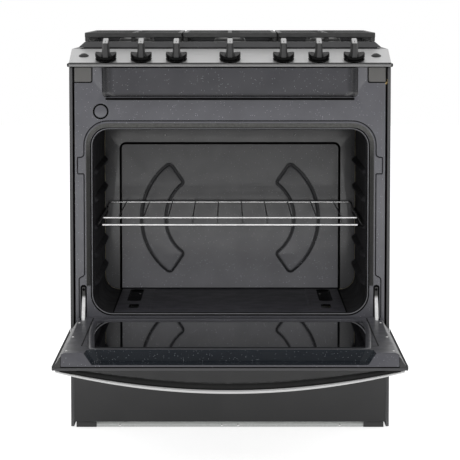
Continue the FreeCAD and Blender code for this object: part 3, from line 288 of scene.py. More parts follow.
def porcelain(name, colour, coat=0.25, specular=0.5, shades=(), rough=(0.14, 0.24), speck=(0.4, 0.41, 0.45),
              amount=0.6, size=4.2):
    """Fired enamel: deep gloss with a scatter of fine pale specks, with painted light and shade along the given
    axes.
    """
    sockets = {"Coat Weight": coat, "Coat Roughness": 0.08, "Specular IOR Level": specular}
    recipe = Recipe(name, colour, 0.2, **sockets)
    body = recipe.mottled(60.0, 0.07)
    dots = recipe.ranged(recipe.cells(size), 0.08, 0.14, 1.0, 0.0)
    chosen = recipe.node("ShaderNodeSeparateColor", {"Color": recipe.cells(size, "Color")}).outputs["Red"]
    picked = recipe.node("ShaderNodeMath", {0: chosen, 1: amount}, operation="GREATER_THAN").outputs[0]
    recipe.set(recipe.shader, {"Base Color": recipe.blended(recipe.product(dots, picked), body, speck)})
    for shade in shades:
        recipe.shaded(*shade)
    recipe.rough_drift(35.0, *rough)
    recipe.bump(recipe.noise(9.0, 2.0), 0.12, 0.3)
    return recipe.material


def plain_enamel(name, colour, roughness):
    """Fired enamel without specks."""
    recipe = Recipe(name, colour, roughness, **{"Coat Weight": 0.3, "Coat Roughness": 0.1})
    recipe.mottled(50.0, 0.12)
    recipe.rough_drift(30.0, roughness * 0.8, roughness * 1.3)
    recipe.bump(recipe.noise(7.0, 2.0), 0.15, 0.3)
    return recipe.material


def brushed(name, colour, roughness, stretch=(4.0, 700.0, 700.0), metallic=1.0):
    """Sheet steel with fine brush lines along its width."""
    recipe = Recipe(name, colour, roughness, metallic)
    lines = recipe.noise(1000.0, 4.0, stretch)
    dark = tuple(channel * 0.9 for channel in colour)
    light = tuple(min(1.0, channel * 1.07) for channel in colour)
    gloss = recipe.ranged(lines, 0.3, 0.7, roughness * 0.85, roughness * 1.2)
    recipe.set(recipe.shader, {"Base Color": recipe.blended(lines, dark, light), "Roughness": gloss})
    recipe.bump(lines, 0.08, 0.05)
    return recipe.material


def painted(name, colour, roughness, shades=()):
    """Sprayed steel: orange peel and a slow drift in its gloss, and any painted shade along the given axes."""
    recipe = Recipe(name, colour, roughness)
    recipe.mottled(80.0, 0.06)
    for shade in shades:
        recipe.shaded(*shade)
    recipe.rough_drift(40.0, roughness * 0.85, roughness * 1.15)
    recipe.bump(recipe.noise(2.2, 2.0), 0.12, 0.08)
    return recipe.material


def moulded(name, colour, roughness, specular=0.5):
    """Moulded plastic with a fine spark-eroded grain."""
    recipe = Recipe(name, colour, roughness, **{"Specular IOR Level": specular})
    recipe.mottled(25.0, 0.1)
    recipe.rough_drift(12.0, roughness * 0.85, roughness * 1.2)
    recipe.bump(recipe.noise(0.8, 2.0), 0.15, 0.06)
    return recipe.material


def zinc(name, colour, shades=(), metallic=1.0):
    """Hot-dip zinc coat with its crystal spangle, and any painted shade along the given axes."""
    recipe = Recipe(name, colour, 0.4, metallic)
    spangle = recipe.node("ShaderNodeSeparateColor", {"Color": recipe.cells(9.0, "Color")}).outputs["Red"]
    dark = tuple(channel * 0.82 for channel in colour)
    recipe.set(recipe.shader, {"Base Color": recipe.blended(spangle, dark, colour)})
    for shade in shades:
        recipe.shaded(*shade)
    recipe.set(recipe.shader, {"Roughness": recipe.ranged(spangle, 0.0, 1.0, 0.3, 0.5)})
    recipe.bump(recipe.noise(3.0), 0.1, 0.1)
    return recipe.material


def cast(name, colour, roughness):
    """Cast iron under matt enamel."""
    recipe = Recipe(name, colour, roughness)
    recipe.mottled(12.0, 0.2)
    recipe.rough_drift(8.0, roughness * 0.8, roughness * 1.15)
    recipe.bump(recipe.noise(1.6, 4.0), 0.4, 0.25)
    recipe.bump(recipe.noise(7.0, 2.0), 0.2, 0.4)
    return recipe.material


def bright_metal(name, colour, roughness):
    """Turned, plated or cast metal with no grain of its own."""
    recipe = Recipe(name, colour, roughness, 1.0)
    recipe.mottled(30.0, 0.05)
    recipe.rough_drift(15.0, roughness * 0.7, roughness * 1.4)
    recipe.bump(recipe.noise(4.0), 0.05, 0.05)
    return recipe.material


def black_glass(name, colour, roughness=0.03, ior=1.75, coat=1.0):
    """Tinted or backed glass that hardly waves."""
    recipe = Recipe(name, colour, roughness, IOR=ior, **{"Coat Weight": coat, "Coat Roughness": 0.02})
    recipe.mottled(90.0, 0.2)
    recipe.rough_drift(70.0, roughness * 0.6, roughness * 1.6)
    recipe.bump(recipe.noise(160.0, 1.0), 0.05, 0.3)
    return recipe.material


def clear_glass(name):
    """The lamp's pressed lens."""
    recipe = Recipe(name, (0.95, 0.95, 0.93), 0.08, IOR=1.47, **{"Transmission Weight": 0.9})
    recipe.rough_drift(8.0, 0.05, 0.15)
    recipe.bump(recipe.noise(6.0), 0.2, 0.3)
    return recipe.material


def shadow_line(name, colour):
    """A matt near-black finish: painted shadow in gaps, grooves and joints, and also the glass's printed border.
    """
    recipe = Recipe(name, colour, 0.9, **{"Specular IOR Level": 0.1})
    recipe.mottled(10.0, 0.2)
    recipe.bump(recipe.noise(1.2, 2.0), 0.2, 0.1)
    return recipe.material


def woven(name, colour, shades=(), pitch=2.4):
    """Braided glass-fibre tape, with any painted shade along the given axes."""
    recipe = Recipe(name, colour, 0.85, **{"Sheen Weight": 0.2})
    recipe.mottled(6.0, 0.25)
    for shade in shades:
        recipe.shaded(*shade)
    for turn in (0.7, -0.7):
        mapping = recipe.node("ShaderNodeMapping", {"Vector": recipe.place, "Rotation": (0.0, turn, 0.0)})
        inputs = {"Vector": mapping.outputs["Vector"], "Scale": 1.0 / (pitch * MM * 3.0), "Distortion": 0.5}
        wave = recipe.node("ShaderNodeTexWave", inputs).outputs["Fac"]
        recipe.bump(wave, 0.5, 0.5)
    return recipe.material


def fibrous(name, colour):
    """Loose mineral wool."""
    recipe = Recipe(name, colour, 0.95)
    recipe.mottled(14.0, 0.25, 5.0)
    recipe.bump(recipe.noise(5.0, 6.0, (1.0, 4.0, 1.0)), 0.9, 2.0)
    return recipe.material


def make_materials():
    """One procedural material for each slot of the record."""
    return {
        "galvanised_steel": zinc("galvanised_steel", (0.55, 0.56, 0.55)),
        "black_bracket": painted("black_bracket", (0.02, 0.02, 0.02), 0.4),
        "side_paint": painted("side_paint", (0.055, 0.055, 0.057), 0.38),
        "speckled_enamel": porcelain("speckled_enamel", (0.075, 0.075, 0.085)),
        "liner_enamel": porcelain("liner_enamel", (0.02, 0.0195, 0.0215), 0.0, 0.15, rough=(0.55, 0.7),
                                  speck=(0.12, 0.12, 0.13)),
        # Full tone at the door's front edge, darker over the liner's middle and lighter again towards the hinge
        # end: painted shade and light.
        "door_enamel": porcelain("door_enamel", (0.05, 0.05, 0.058), 0.05, 0.4, rough=(0.3, 0.42),
                                 shades=(("Y", -922.0, -890.0, 1.0, 0.62), ("Y", -470.0, -400.0, 1.0, 1.5))),
        "cooktop_enamel": plain_enamel("cooktop_enamel", (0.035, 0.035, 0.037), 0.22),
        "black_plastic": moulded("black_plastic", (0.014, 0.014, 0.014), 0.35),
        "plate_grey": painted("plate_grey", (0.09, 0.088, 0.085), 0.35),
        "screw_steel": bright_metal("screw_steel", (0.75, 0.75, 0.74), 0.2),
        "burner_steel": bright_metal("burner_steel", (0.42, 0.4, 0.37), 0.4),
        "lamp_glass": clear_glass("lamp_glass"),
        # The seal's colour drops to a quarter below 640 mm: painted shade.
        "gasket": woven("gasket", (0.064, 0.064, 0.061), (("Z", 640.0, 700.0, 0.25, 1.0),)),
        "glass_wool": fibrous("glass_wool", (0.62, 0.55, 0.36)),
        "stainless": brushed("stainless", (0.56, 0.56, 0.56), 0.4, metallic=0.55),
        # The drawer front darkens towards its bottom: painted shade.
        "drawer_paint": painted("drawer_paint", (0.026, 0.026, 0.027), 0.38, (("Z", 20.0, 210.0, 0.3, 1.0),)),
        "dark_glass": black_glass("dark_glass", (0.006, 0.006, 0.007), 0.05, 1.42, 0.0),
        "black_glass": black_glass("black_glass", (0.004, 0.004, 0.005)),
        "handle_metal": brushed("handle_metal", (0.5, 0.5, 0.5), 0.3, (3.0, 500.0, 500.0)),
        "trim_paint": moulded("trim_paint", (0.018, 0.018, 0.018), 0.4),
        "knob_black": moulded("knob_black", (0.022, 0.022, 0.0225), 0.4),
        "brass": bright_metal("brass", (0.62, 0.45, 0.2), 0.28),
        "burner_aluminium": bright_metal("burner_aluminium", (0.4, 0.4, 0.4), 0.45),
        "cap_enamel": cast("cap_enamel", (0.02, 0.02, 0.02), 0.4),
        "grate_iron": cast("grate_iron", (0.03, 0.03, 0.03), 0.45),
        "rack_chrome": bright_metal("rack_chrome", (0.72, 0.72, 0.72), 0.16),
    }


def make_extra_materials():
    """Finishes that share a slot with another part: some are finishes of their own, and many are darker or lighter
    copies that carry painted light, shade, highlight and reflection.
    """
    return {
        # Darker than the front's enamel, and darker still along its lower edge and sloping sides: painted shade
        # and painted shadow.
        "block_enamel_painted_shade": porcelain("block_enamel_painted_shade", (0.034, 0.034, 0.039),
                                  shades=(("Z", BLOCK_BOTTOM + 1.0, BLOCK_BOTTOM + 9.0, 0.1, 1.0),
                                          ("X", -290.0, -272.0, 0.4, 1.0), ("X", 272.0, 290.0, 1.0, 0.4))),
        # Nearly three times brighter near the floor and darker from 480 mm up: painted light and shade.
        "back_enamel_painted_light_and_shade": porcelain("back_enamel_painted_light_and_shade", (0.07, 0.07, 0.075),
                                 shades=(("Z", 290.0, 480.0, 2.9, 0.56),)),
        # The border darkens towards its top: painted shade.
        "strip_enamel_painted_shade": porcelain("strip_enamel_painted_shade", (0.09, 0.09, 0.093),
                                  shades=(("Z", 500.0, 640.0, 1.0, 0.34),)),
        "floor_enamel": porcelain("floor_enamel", (0.04, 0.039, 0.047), 0.0, 0.2, rough=(0.4, 0.5)),
        # Lighter enamel for the bead round the oven's mouth: painted highlight.
        "bead_painted_highlight": porcelain("bead_painted_highlight", (0.15, 0.15, 0.16), 0.3, 0.5),
        # Near-black enamel in the floor's oval wells and vent slots: painted shade.
        "well_painted_shade": porcelain("well_painted_shade", (0.003, 0.003, 0.003), 0.0, 0.05, rough=(0.6, 0.7)),
        # Dark enamel along the crescents' edges: painted shade.
        "crease_painted_shade": porcelain("crease_painted_shade", (0.018, 0.018, 0.02), 0.0, 0.2),
        # Darker, bluer enamel for the door's recess: painted shade.
        "recess_painted_shade": porcelain("recess_painted_shade", (0.01, 0.013, 0.017), 0.05, 0.2, amount=0.35, size=3.8),
        # Near-black sheets in gaps, grooves and folds: painted shadow.
        "shadow_line": shadow_line("shadow_line", (0.003, 0.003, 0.003)),
        # Dark sheets in creases, channels and the mouth's inner wall: painted shade.
        "painted_shade_line": shadow_line("painted_shade_line", (0.012, 0.012, 0.013)),
        "skirt_black": moulded("skirt_black", (0.003, 0.003, 0.003), 0.25, 0.06),
        # Dark steel for the door's turned-up edge: painted reflection.
        "door_edge_painted_reflection": brushed("door_edge_painted_reflection", (0.085, 0.085, 0.088), 0.4),
        # Darker steel for the panel's nose: painted reflection.
        "nose_painted_reflection": brushed("nose_painted_reflection", (0.24, 0.24, 0.24), 0.35),
        "handle_dark": moulded("handle_dark", (0.007, 0.007, 0.007), 0.5, 0.15),
        "glass_frit": shadow_line("glass_frit", (0.008, 0.009, 0.01)),
        "wire_dark": bright_metal("wire_dark", (0.1, 0.1, 0.1), 0.3),
        # Bright zinc for the hinge links, dark above 316 mm inside the slots: painted highlight and painted shade.
        "arm_zinc_painted_light_and_shade": zinc("arm_zinc_painted_light_and_shade", (0.8, 0.8, 0.8), (("Z", 309.0, 316.0, 1.0, 0.1),), 0.6),
    }


MATERIALS = make_materials()
EXTRA = make_extra_materials()
SLOT_OF = {part["node"]: part["material_slot"] for part in frame["record"]["subparts"]}
BODY_OF = {node: body for body, members in frame["record"]["behaviour"]["bodies"].items() for node in members}


def dress_cad_nodes():
    """Every CAD node that stays in view gets its slot's procedural material."""
    for node, piece in frame["nodes"].items():
        piece.data.materials.clear()
        piece.data.materials.append(MATERIALS[SLOT_OF[node]])


# ---- outlines ----------------------------------------------------------------------
def rounded(corners, steps=8):
    """A closed outline whose corners (u, v, radius) become arcs."""
    points = []
    count = len(corners)
    for index, (u, v, radius) in enumerate(corners):
        here = Vector((u, v))
        before = Vector(corners[index - 1][:2]) - here
        after = Vector(corners[(index + 1) % count][:2]) - here
        if radius <= 0.0:
            points.append((u, v))
            continue
        before.normalize()
        after.normalize()
        half = before.angle(after) / 2
        reach = radius / math.tan(half)
        start = here + before * reach
        end = here + after * reach
        middle = here + (before + after).normalized() * (radius / math.sin(half))
        first = start - middle
        turn = first.angle_signed(end - middle)
        for step in range(steps + 1):
            spin = Matrix.Rotation(-turn * step / steps, 2)
            points.append(tuple(middle + spin @ first))
    return points


def rounded_box_outline(u_low, u_high, v_low, v_high, radii, steps=8):
    """Counter-clockwise from the lower left; radii are lower and upper, or one number."""
    low, high = radii if isinstance(radii, tuple) else (radii, radii)
    corners = [(u_low, v_low, low), (u_high, v_low, low), (u_high, v_high, high), (u_low, v_high, high)]
    return rounded(corners, steps)


def circle(u, v, radius, steps=40):
    """Points of a circle, counter-clockwise."""
    turns = [2 * math.pi * step / steps for step in range(steps)]
    return [(u + radius * math.cos(turn), v + radius * math.sin(turn)) for turn in turns]


def grown(outline, distance):
    """The outline moved outwards by a distance; it runs counter-clockwise."""
    count = len(outline)
    moved = []
    for index in range(count):
        previous = Vector(outline[index - 1])
        here = Vector(outline[index])
        following = Vector(outline[(index + 1) % count])
        first = (here - previous).normalized()
        second = (following - here).normalized()
        normal_1 = Vector((first.y, -first.x))
        normal_2 = Vector((second.y, -second.x))
        normal = (normal_1 + normal_2).normalized()
        stretch = max(0.5, normal.dot(normal_1))
        moved.append(tuple(here + normal * (distance / stretch)))
    return moved


# ---- mesh shapes, each a pair of points and faces ------------------------------------
def joined(*shapes):
    """Several shapes as one."""
    points = []
    faces = []
    for shape_points, shape_faces in shapes:
        base = len(points)
        points += shape_points
        faces += [tuple(base + index for index in face) for face in shape_faces]
    return points, faces


def loft(loops, closed=True, capped=(False, False)):
    """Quads between loops that have the same number of points."""
    count = len(loops[0])
    points = [point for loop in loops for point in loop]
    faces = []
    for row in range(len(loops) - 1):
        for index in range(count if closed else count - 1):
            following = (index + 1) % count
            base = row * count
            faces.append((base + index, base + following, base + count + following, base + count + index))
    if capped[0]:
        faces.append(tuple(reversed(range(count))))
    if capped[1]:
        faces.append(tuple(range(len(points) - count, len(points))))
    return points, faces


def filled(outlines, place):
    """A flat face with holes: the first outline is its edge, and place turns (u, v) into a point."""
    loops = [[Vector((u, v, 0.0)) for u, v in outline] for outline in outlines]
    flat = [point for loop in loops for point in loop]
    faces = [tuple(face) for face in tessellate_polygon(loops)]
    return [place(point.x, point.y) for point in flat], faces


def tube(path, radius, sides=12, closed=False, flat=1.0):
    """A round bar along a path of points; radius may be a list, one for each point."""
    points = [Vector(point) for point in path]
    count = len(points)
    radii = radius if isinstance(radius, (list, tuple)) else [radius] * count
    loops = []
    normal = None
    for index, point in enumerate(points):
        before = points[index - 1] if closed or index else point
        after = points[(index + 1) % count] if closed or index < count - 1 else point
        direction = (after - before).normalized()
        if normal is None:
            seed = Vector((0, 0, 1)) if abs(direction.z) < 0.9 else Vector((1, 0, 0))
            normal = direction.cross(seed).cross(direction).normalized()
        normal = (normal - direction * normal.dot(direction)).normalized()
        side = direction.cross(normal)
        turns = [2 * math.pi * step / sides for step in range(sides)]
        loops.append([tuple(point + radii[index] * (normal * math.cos(turn) * flat + side * math.sin(turn)))
                      for turn in turns])
    if closed:
        return loft(loops + loops[:1])
    return loft(loops, capped=(True, True))


def turned(profile, place, steps=40):
    """A surface of revolution: profile is (radius, height), and place sets (u, v, height)."""
    loops = [[place(u, v, height) for u, v in circle(0.0, 0.0, max(radius, 0.01), steps)]
             for radius, height in profile]
    return loft(loops, capped=(True, True))


def bend(points, radius, steps=6):
    """A path of straight runs with rounded corners."""
    path = [Vector(points[0])]
    for previous, corner, following in zip(points, points[1:], points[2:]):
        here = Vector(corner)
        back = Vector(previous) - here
        on = Vector(following) - here
        reach = min(radius, back.length / 2, on.length / 2)
        start = here + back.normalized() * reach
        end = here + on.normalized() * reach
        for step in range(steps + 1):
            t = step / steps
            path.append(start * (1 - t) ** 2 + here * 2 * t * (1 - t) + end * t ** 2)
    path.append(Vector(points[-1]))
    return path


def both_sides(shape):
    """A shape and its mirror image across the middle."""
    points, faces = shape
    return joined(shape, ([(-x, y, z) for x, y, z in points], [tuple(reversed(face)) for face in faces]))


def mirrored_corners(right):
    """The right half's corners (u, v, radius) followed by their mirror images, in order round the outline."""
    return right + [(-u, v, radius) for u, v, radius in reversed(right)]


# ---- pieces --------------------------------------------------------------------------
SAME_POINT = 0.00001
SHARP_ANGLE = math.radians(35.0)
HARD_EDGE_ANGLE = math.radians(40.0)
FLAT_ANGLE = math.radians(2.0)


def make_piece(name, shape, slot, body, replaced=(), bevel=0.0, sheet=0.0, finish=None):
    """A mesh piece that rides on a body and stands for the named CAD nodes.

    bevel rounds its hard edges, sheet gives an open surface a thickness (both in millimetres), and
    finish names one of the extra materials, where the slot's own isn't right.
    """
    points, faces = shape
    mesh = bpy.data.meshes.new(name)
    mesh.from_pydata([Vector(point) * MM for point in points], [], faces)
    place_piece(name, mesh, slot, body, replaced, bevel, sheet, finish)


def enamel_piece(name, shape, replaced=(), sheet=0.0, finish=None):
    """A piece of the chassis's speckled enamel."""
    make_piece(name, shape, "speckled_enamel", "chassis", replaced, sheet=sheet, finish=finish)


def place_piece(name, mesh, slot, body, replaced, bevel, sheet, finish):
    """Clean a mesh, shade it, parent it to its body and hide the CAD nodes it stands for."""
    working = bmesh.new()
    working.from_mesh(mesh)
    bmesh.ops.remove_doubles(working, verts=working.verts, dist=SAME_POINT)
    bmesh.ops.dissolve_degenerate(working, edges=working.edges, dist=SAME_POINT)
    bmesh.ops.recalc_face_normals(working, faces=working.faces)
    working.to_mesh(mesh)
    working.free()
    mesh.materials.clear()
    mesh.materials.append(EXTRA[finish] if finish else MATERIALS[slot])
    for polygon in mesh.polygons:
        polygon.use_smooth = True
    mesh.set_sharp_from_angle(angle=SHARP_ANGLE)
    piece = bpy.data.objects.new(name, mesh)
    bpy.context.scene.collection.objects.link(piece)
    if sheet:
        solid = piece.modifiers.new("sheet", "SOLIDIFY")
        solid.thickness = sheet * MM
        solid.offset = -1.0
    if bevel:
        soften = piece.modifiers.new("soften", "BEVEL")
        soften.width = bevel * MM
        soften.segments = 3
        soften.limit_method = "ANGLE"
        soften.angle_limit = HARD_EDGE_ANGLE
    shading = piece.modifiers.new("shading", "WEIGHTED_NORMAL")
    shading.keep_sharp = True
    shading.weight = 90
    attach(piece, body)
    if replaced:
        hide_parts(*replaced)


def softened(node, bevel, finish=None):
    """The CAD node's own shape with its hard edges broken, as a piece that stands for it."""
    mesh = bpy.data.meshes.new(node + "_soft")
    working = bmesh.new()
    working.from_mesh(frame["nodes"][node].data)
    bmesh.ops.remove_doubles(working, verts=working.verts, dist=2 * SAME_POINT)
    bmesh.ops.dissolve_limit(working, angle_limit=FLAT_ANGLE, verts=working.verts, edges=working.edges)
    working.to_mesh(mesh)
    working.free()
    place_piece(node + "_soft", mesh, SLOT_OF[node], BODY_OF[node], (node,), bevel, 0.0, finish)


def front_point(x, z, depth=0.0):
    """A point of the porcelain front, a depth behind its face."""
    return (x, FRONT + depth, z)


def facing_up(x, y, z):
    """Turn (u, v, height) into a point above a spot whose surface faces up."""
    return lambda u, v, height: (x + u, y + v, z + height)


def facing_front(x, y, z, outward=-1.0):
    """Turn (u, v, height) into a point off a spot that faces the front, or the rear where outward is 1."""
    return lambda u, v, height: (x + u, y + outward * height, z + v)


def across(low, high, y, z, spans=4):
    """Evenly spaced points of a straight run along X."""
    return [(low + (high - low) * step / spans, y, z) for step in range(spans + 1)]


def ring_loops(outline, profile, place):
    """Loops that follow an outline: profile is (outward, depth)."""
    return [[place(u, v, depth) for u, v in grown(outline, outward)] for outward, depth in profile]


def opening_outline():
    """The oven's mouth."""
    return rounded_box_outline(-OPENING_HALF, OPENING_HALF, OPENING_BOTTOM, OPENING_TOP,
                               (OPENING_LOW_RADIUS, OPENING_TOP_RADIUS), 12)


def emboss_outline():
    """The pressed line that runs round the gasket, with its tabs and its jogs at the hinge slots."""
    right = [(357.5, 236.0, 6.0), (357.5, 357.0, 7.0), (344.5, 364.0, 7.0), (344.5, 605.0, 3.0),
             (360.0, 605.0, 3.0), (360.0, 644.0, 3.0), (344.5, 644.0, 9.0), (344.5, 730.0, 57.0)]
    return rounded(mirrored_corners(right), 10)


def block_outline(share):
    """The raised block's outline at a share of the way from its base to its face."""
    half = BLOCK_BASE_HALF + (BLOCK_FACE_HALF - BLOCK_BASE_HALF) * share
    bottom = BLOCK_BOTTOM - 2.0 + 5.0 * share
    top = FRAME_HIGH.z - 1.0
    return rounded_box_outline(-half, half, bottom, top, (12.0 - 2.0 * share, 0.0), 8)


def front_frame_piece():
    """The porcelain front round the oven's mouth, with its pressed lines and holes."""
    opening = opening_outline()
    emboss = emboss_outline()
    side = FRAME_HIGH.x
    plate = PLATE_INNER - 2.6
    step = PLATE_LOW - 2.6
    right = [(side, FRAME_LOW.z, 3.0), (side, step, 0.0), (plate, step, 5.0), (plate, FRAME_HIGH.z, 0.0)]
    outer = rounded(mirrored_corners(right), 5)
    plug = circle(PLUG_X, PLUG_Z, PLUG_RING)
    slot = rounded_box_outline(HINGE_X - SLOT_HALF, HINGE_X + SLOT_HALF, SLOT_BOTTOM, SLOT_TOP, 7.0, 8)
    other_slot = [(-x, z) for x, z in reversed(slot)]
    outer_edge = grown(emboss, GROOVE_HALF_WIDTH)
    inner_edge = grown(emboss, -GROOVE_HALF_WIDTH)
    outside = filled([outer, outer_edge, plug, block_outline(0.0)], front_point)
    inside = filled([inner_edge, grown(opening, 5.6), slot, other_slot], front_point)
    groove = loft([[front_point(x, z) for x, z in outer_edge],
                   [front_point(x, z, GROOVE_DEPTH) for x, z in emboss],
                   [front_point(x, z) for x, z in inner_edge]])
    rim = loft(ring_loops(opening, [(5.6, 0.0), (5.4, 2.5), (0.4, 2.5), (0.2, 8.0)], front_point))
    bead = [(4.1, 3.0), (3.9, 0.2), (3.5, -1.4), (2.7, -2.2), (1.9, -1.8), (1.4, -0.6), (1.3, 1.2)]
    # The bead's lighter enamel is painted highlight.
    enamel_piece("opening_bead", loft(ring_loops(opening, bead, front_point)), finish="bead_painted_highlight")
    lip = loft(ring_loops(opening, [(1.3, 1.0), (0.3, 1.4), (0.0, 3.0), (0.0, 12.0)], front_point))
    # The mouth's inner wall is dark: painted shade.
    enamel_piece("opening_lip", lip, sheet=0.5, finish="painted_shade_line")
    walls = [loft([[front_point(x, z, depth) for x, z in outline] for depth in (0.0, deep)])
             for outline, deep in ((outer, 10.0), (plug, 5.0), (slot, 5.0), (other_slot, 5.0))]
    enamel_piece("porcelain_front", joined(outside, inside, groove, rim, *walls), ("front_frame",), sheet=1.0)
    crease = loft([[front_point(x, z, 1.6) for x, z in grown(emboss, width)] for width in (0.8, -0.8)])
    # A dark strip in the bottom of the pressed groove: painted shade.
    enamel_piece("front_crease", crease, sheet=0.4, finish="painted_shade_line")


def front_block_piece():
    """The raised block that the door's recess closes over, with soft sides and a sharp lower edge."""
    steps = 10
    rise = []
    for step in range(steps + 1):
        share = step / steps
        depth = -BLOCK_DEPTH * (share * share * (3 - 2 * share)) ** 0.8
        rise.append([front_point(x, z, depth) for x, z in block_outline(share)])
    face = filled([block_outline(1.0)], lambda x, z: front_point(x, z, -BLOCK_DEPTH))
    # The block's darker enamel carries painted shade and painted shadow.
    enamel_piece("front_block", joined(loft(rise), face), sheet=1.0, finish="block_enamel_painted_shade")
    # A near-black strip under the block's lower edge: painted shadow.
    half = BLOCK_BASE_HALF - 8.0
    outline = rounded_box_outline(-half, half, BLOCK_BOTTOM - 8.5, BLOCK_BOTTOM - 3.0, 2.6, 5)
    profile = [(0.0, 0.0), (-0.2, -0.7), (-1.2, -1.1)]
    shadow_strip = loft(ring_loops(outline, profile, front_point), capped=(False, True))
    enamel_piece("block_shadow_strip", shadow_strip, sheet=0.3, finish="shadow_line")


def corner_plates():
    """Small painted plates let into the frame's upper corners, with a shadow gap round them."""
    outline = rounded([(PLATE_INNER, PLATE_LOW, 4.0), (FRAME_HIGH.x, PLATE_LOW, 1.0),
                       (FRAME_HIGH.x, FRAME_HIGH.z, 0.0), (PLATE_INNER, FRAME_HIGH.z, 0.0)], 5)
    sides = loft(ring_loops(outline, [(-0.6, -0.6), (0.0, 0.0), (0.0, 4.0)], front_point))
    face = filled([grown(outline, -0.6)], lambda x, z: front_point(x, z, -0.6))
    make_piece("corner_plates", both_sides(joined(sides, face)), "plate_grey", "chassis",
               ("panel_corner_brackets",), sheet=0.6)
    # The gap round each plate is a near-black strip: painted shadow.
    gap = [grown(outline, width) for width in (3.2, 2.2, -1.5)]
    seat = loft([[front_point(x, min(z, FRAME_HIGH.z - 0.5), 1.4) for x, z in edge] for edge in gap])
    make_piece("corner_plate_gaps", both_sides(seat), "plate_grey", "chassis", sheet=0.4,
               finish="shadow_line")


def plug_pieces():
    """The round plug in the front's spare hole, and the dark gap round it."""
    at = facing_front(PLUG_X, FRONT, PLUG_Z)
    disc = turned([(0.0, -4.0), (PLUG_RADIUS - 1, -4.0), (PLUG_RADIUS, -3.0), (PLUG_RADIUS, 0.2),
                   (PLUG_RADIUS - 0.8, 0.8), (PLUG_RADIUS - 3, 1.1), (0.0, 1.2)], at)
    enamel_piece("plug_cap", disc, ("frame_hole_plug",))
    # The gap round the plug is a near-black ring: painted shadow.
    ring = turned([(PLUG_RADIUS + 0.2, -4.0), (PLUG_RING - 0.1, -4.0), (PLUG_RING - 0.1, -1.6),
                   (PLUG_RADIUS + 1.4, -1.0), (PLUG_RADIUS + 0.2, -1.6)], at)
    make_piece("plug_ring", ring, "black_plastic", "chassis", finish="shadow_line")


def hinge_pockets():
    """Dark steel boxes behind the hinge slots."""
    outline = rounded_box_outline(HINGE_X - 9, HINGE_X + 9, SLOT_BOTTOM - 6, SLOT_TOP + 4, 4.0, 4)
    loops = [[front_point(x, z, depth) for x, z in outline] for depth in (5.0, 46.0)]
    walls = loft(loops, capped=(False, True))
    make_piece("hinge_pockets", both_sides(walls), "trim_paint", "chassis", sheet=0.8)


# ---- oven --------------------------------------------------------------------------
CAVITY_HALF = 322.0
CAVITY_BOTTOM = 270.0
MIDDLE_SHELF = 477.8
SHELF_PITCH = 66.5
SHELF_WALL = 322.4
SHELF_SECTIONS = ((-293.0, 0.5), (-286.0, 6.0), (-276.0, 9.5), (176.0, 9.5), (186.0, 6.0), (193.0, 0.5))
BAKE_TUBE = {"radius": 12.0, "half": 150.0, "front": -220.0, "back": 120.0, "height": 248.0}
BROIL_TUBE = {"radius": 4.0, "half": 100.0, "front": -120.0, "back": 90.0, "height": 706.5}
TUBE_PORTS = 14
LAMP_X = 230.0
LAMP_Y = 60.0
RACK_WIRES = 10
RACK_WIRE_PITCH = 59.0
RACK_REAR = 172.0
CRESCENT_CENTRE = (53.6, 455.0)
CRESCENT_RADII = (111.0, 175.0)
CRESCENT_SWEEP = 55.0


def cavity_section():
    """The oven's walls and roof in section, from one edge of the floor round to the other."""
    roof = LINER_HIGH.z - 2.0
    whole = rounded_box_outline(-CAVITY_HALF, CAVITY_HALF, CAVITY_BOTTOM, roof, (38.0, 30.0), 10)
    ledge = FLOOR_HIGH.x - 12.0
    start = next(index for index, point in enumerate(whole) if point[0] > 0)
    return [(ledge, CAVITY_BOTTOM)] + whole[start:] + whole[:start] + [(-ledge, CAVITY_BOTTOM)]


def rack_rib(level):
    """One pressed shelf support on the right wall."""
    top = MIDDLE_SHELF + SHELF_PITCH * level
    loops = []
    for y, reach in SHELF_SECTIONS:
        section = [(0.0, 5.0), (0.8, -0.5), (1.0, -2.5), (1.0, -6.0), (0.7, -9.0), (0.0, -14.0)]
        loops.append([(SHELF_WALL - reach * share, y, top + rise) for share, rise in section])
    return loft(loops, closed=False)


def oven_pieces():
    """The oven's walls with their shelf supports, and all that sits in the oven."""
    front = LINER_LOW.y
    back = BACK_LOW.y + 2.0
    depths = (front, front + 4.0, back - 2.0, back)
    walls = loft([[(x, y, z) for x, z in cavity_section()] for y in depths], closed=False)
    ribs = [both_sides(rack_rib(level)) for level in (-2, -1, 0, 1, 2)]
    make_piece("oven_walls", walls, "liner_enamel", "chassis", ("oven_liner",), sheet=-1.2)
    make_piece("rack_supports", joined(*ribs), "liner_enamel", "chassis", sheet=0.8)
    tube_pieces()
    rack_pieces()
    gasket_piece()
    back_wall_piece()
    floor_piece()


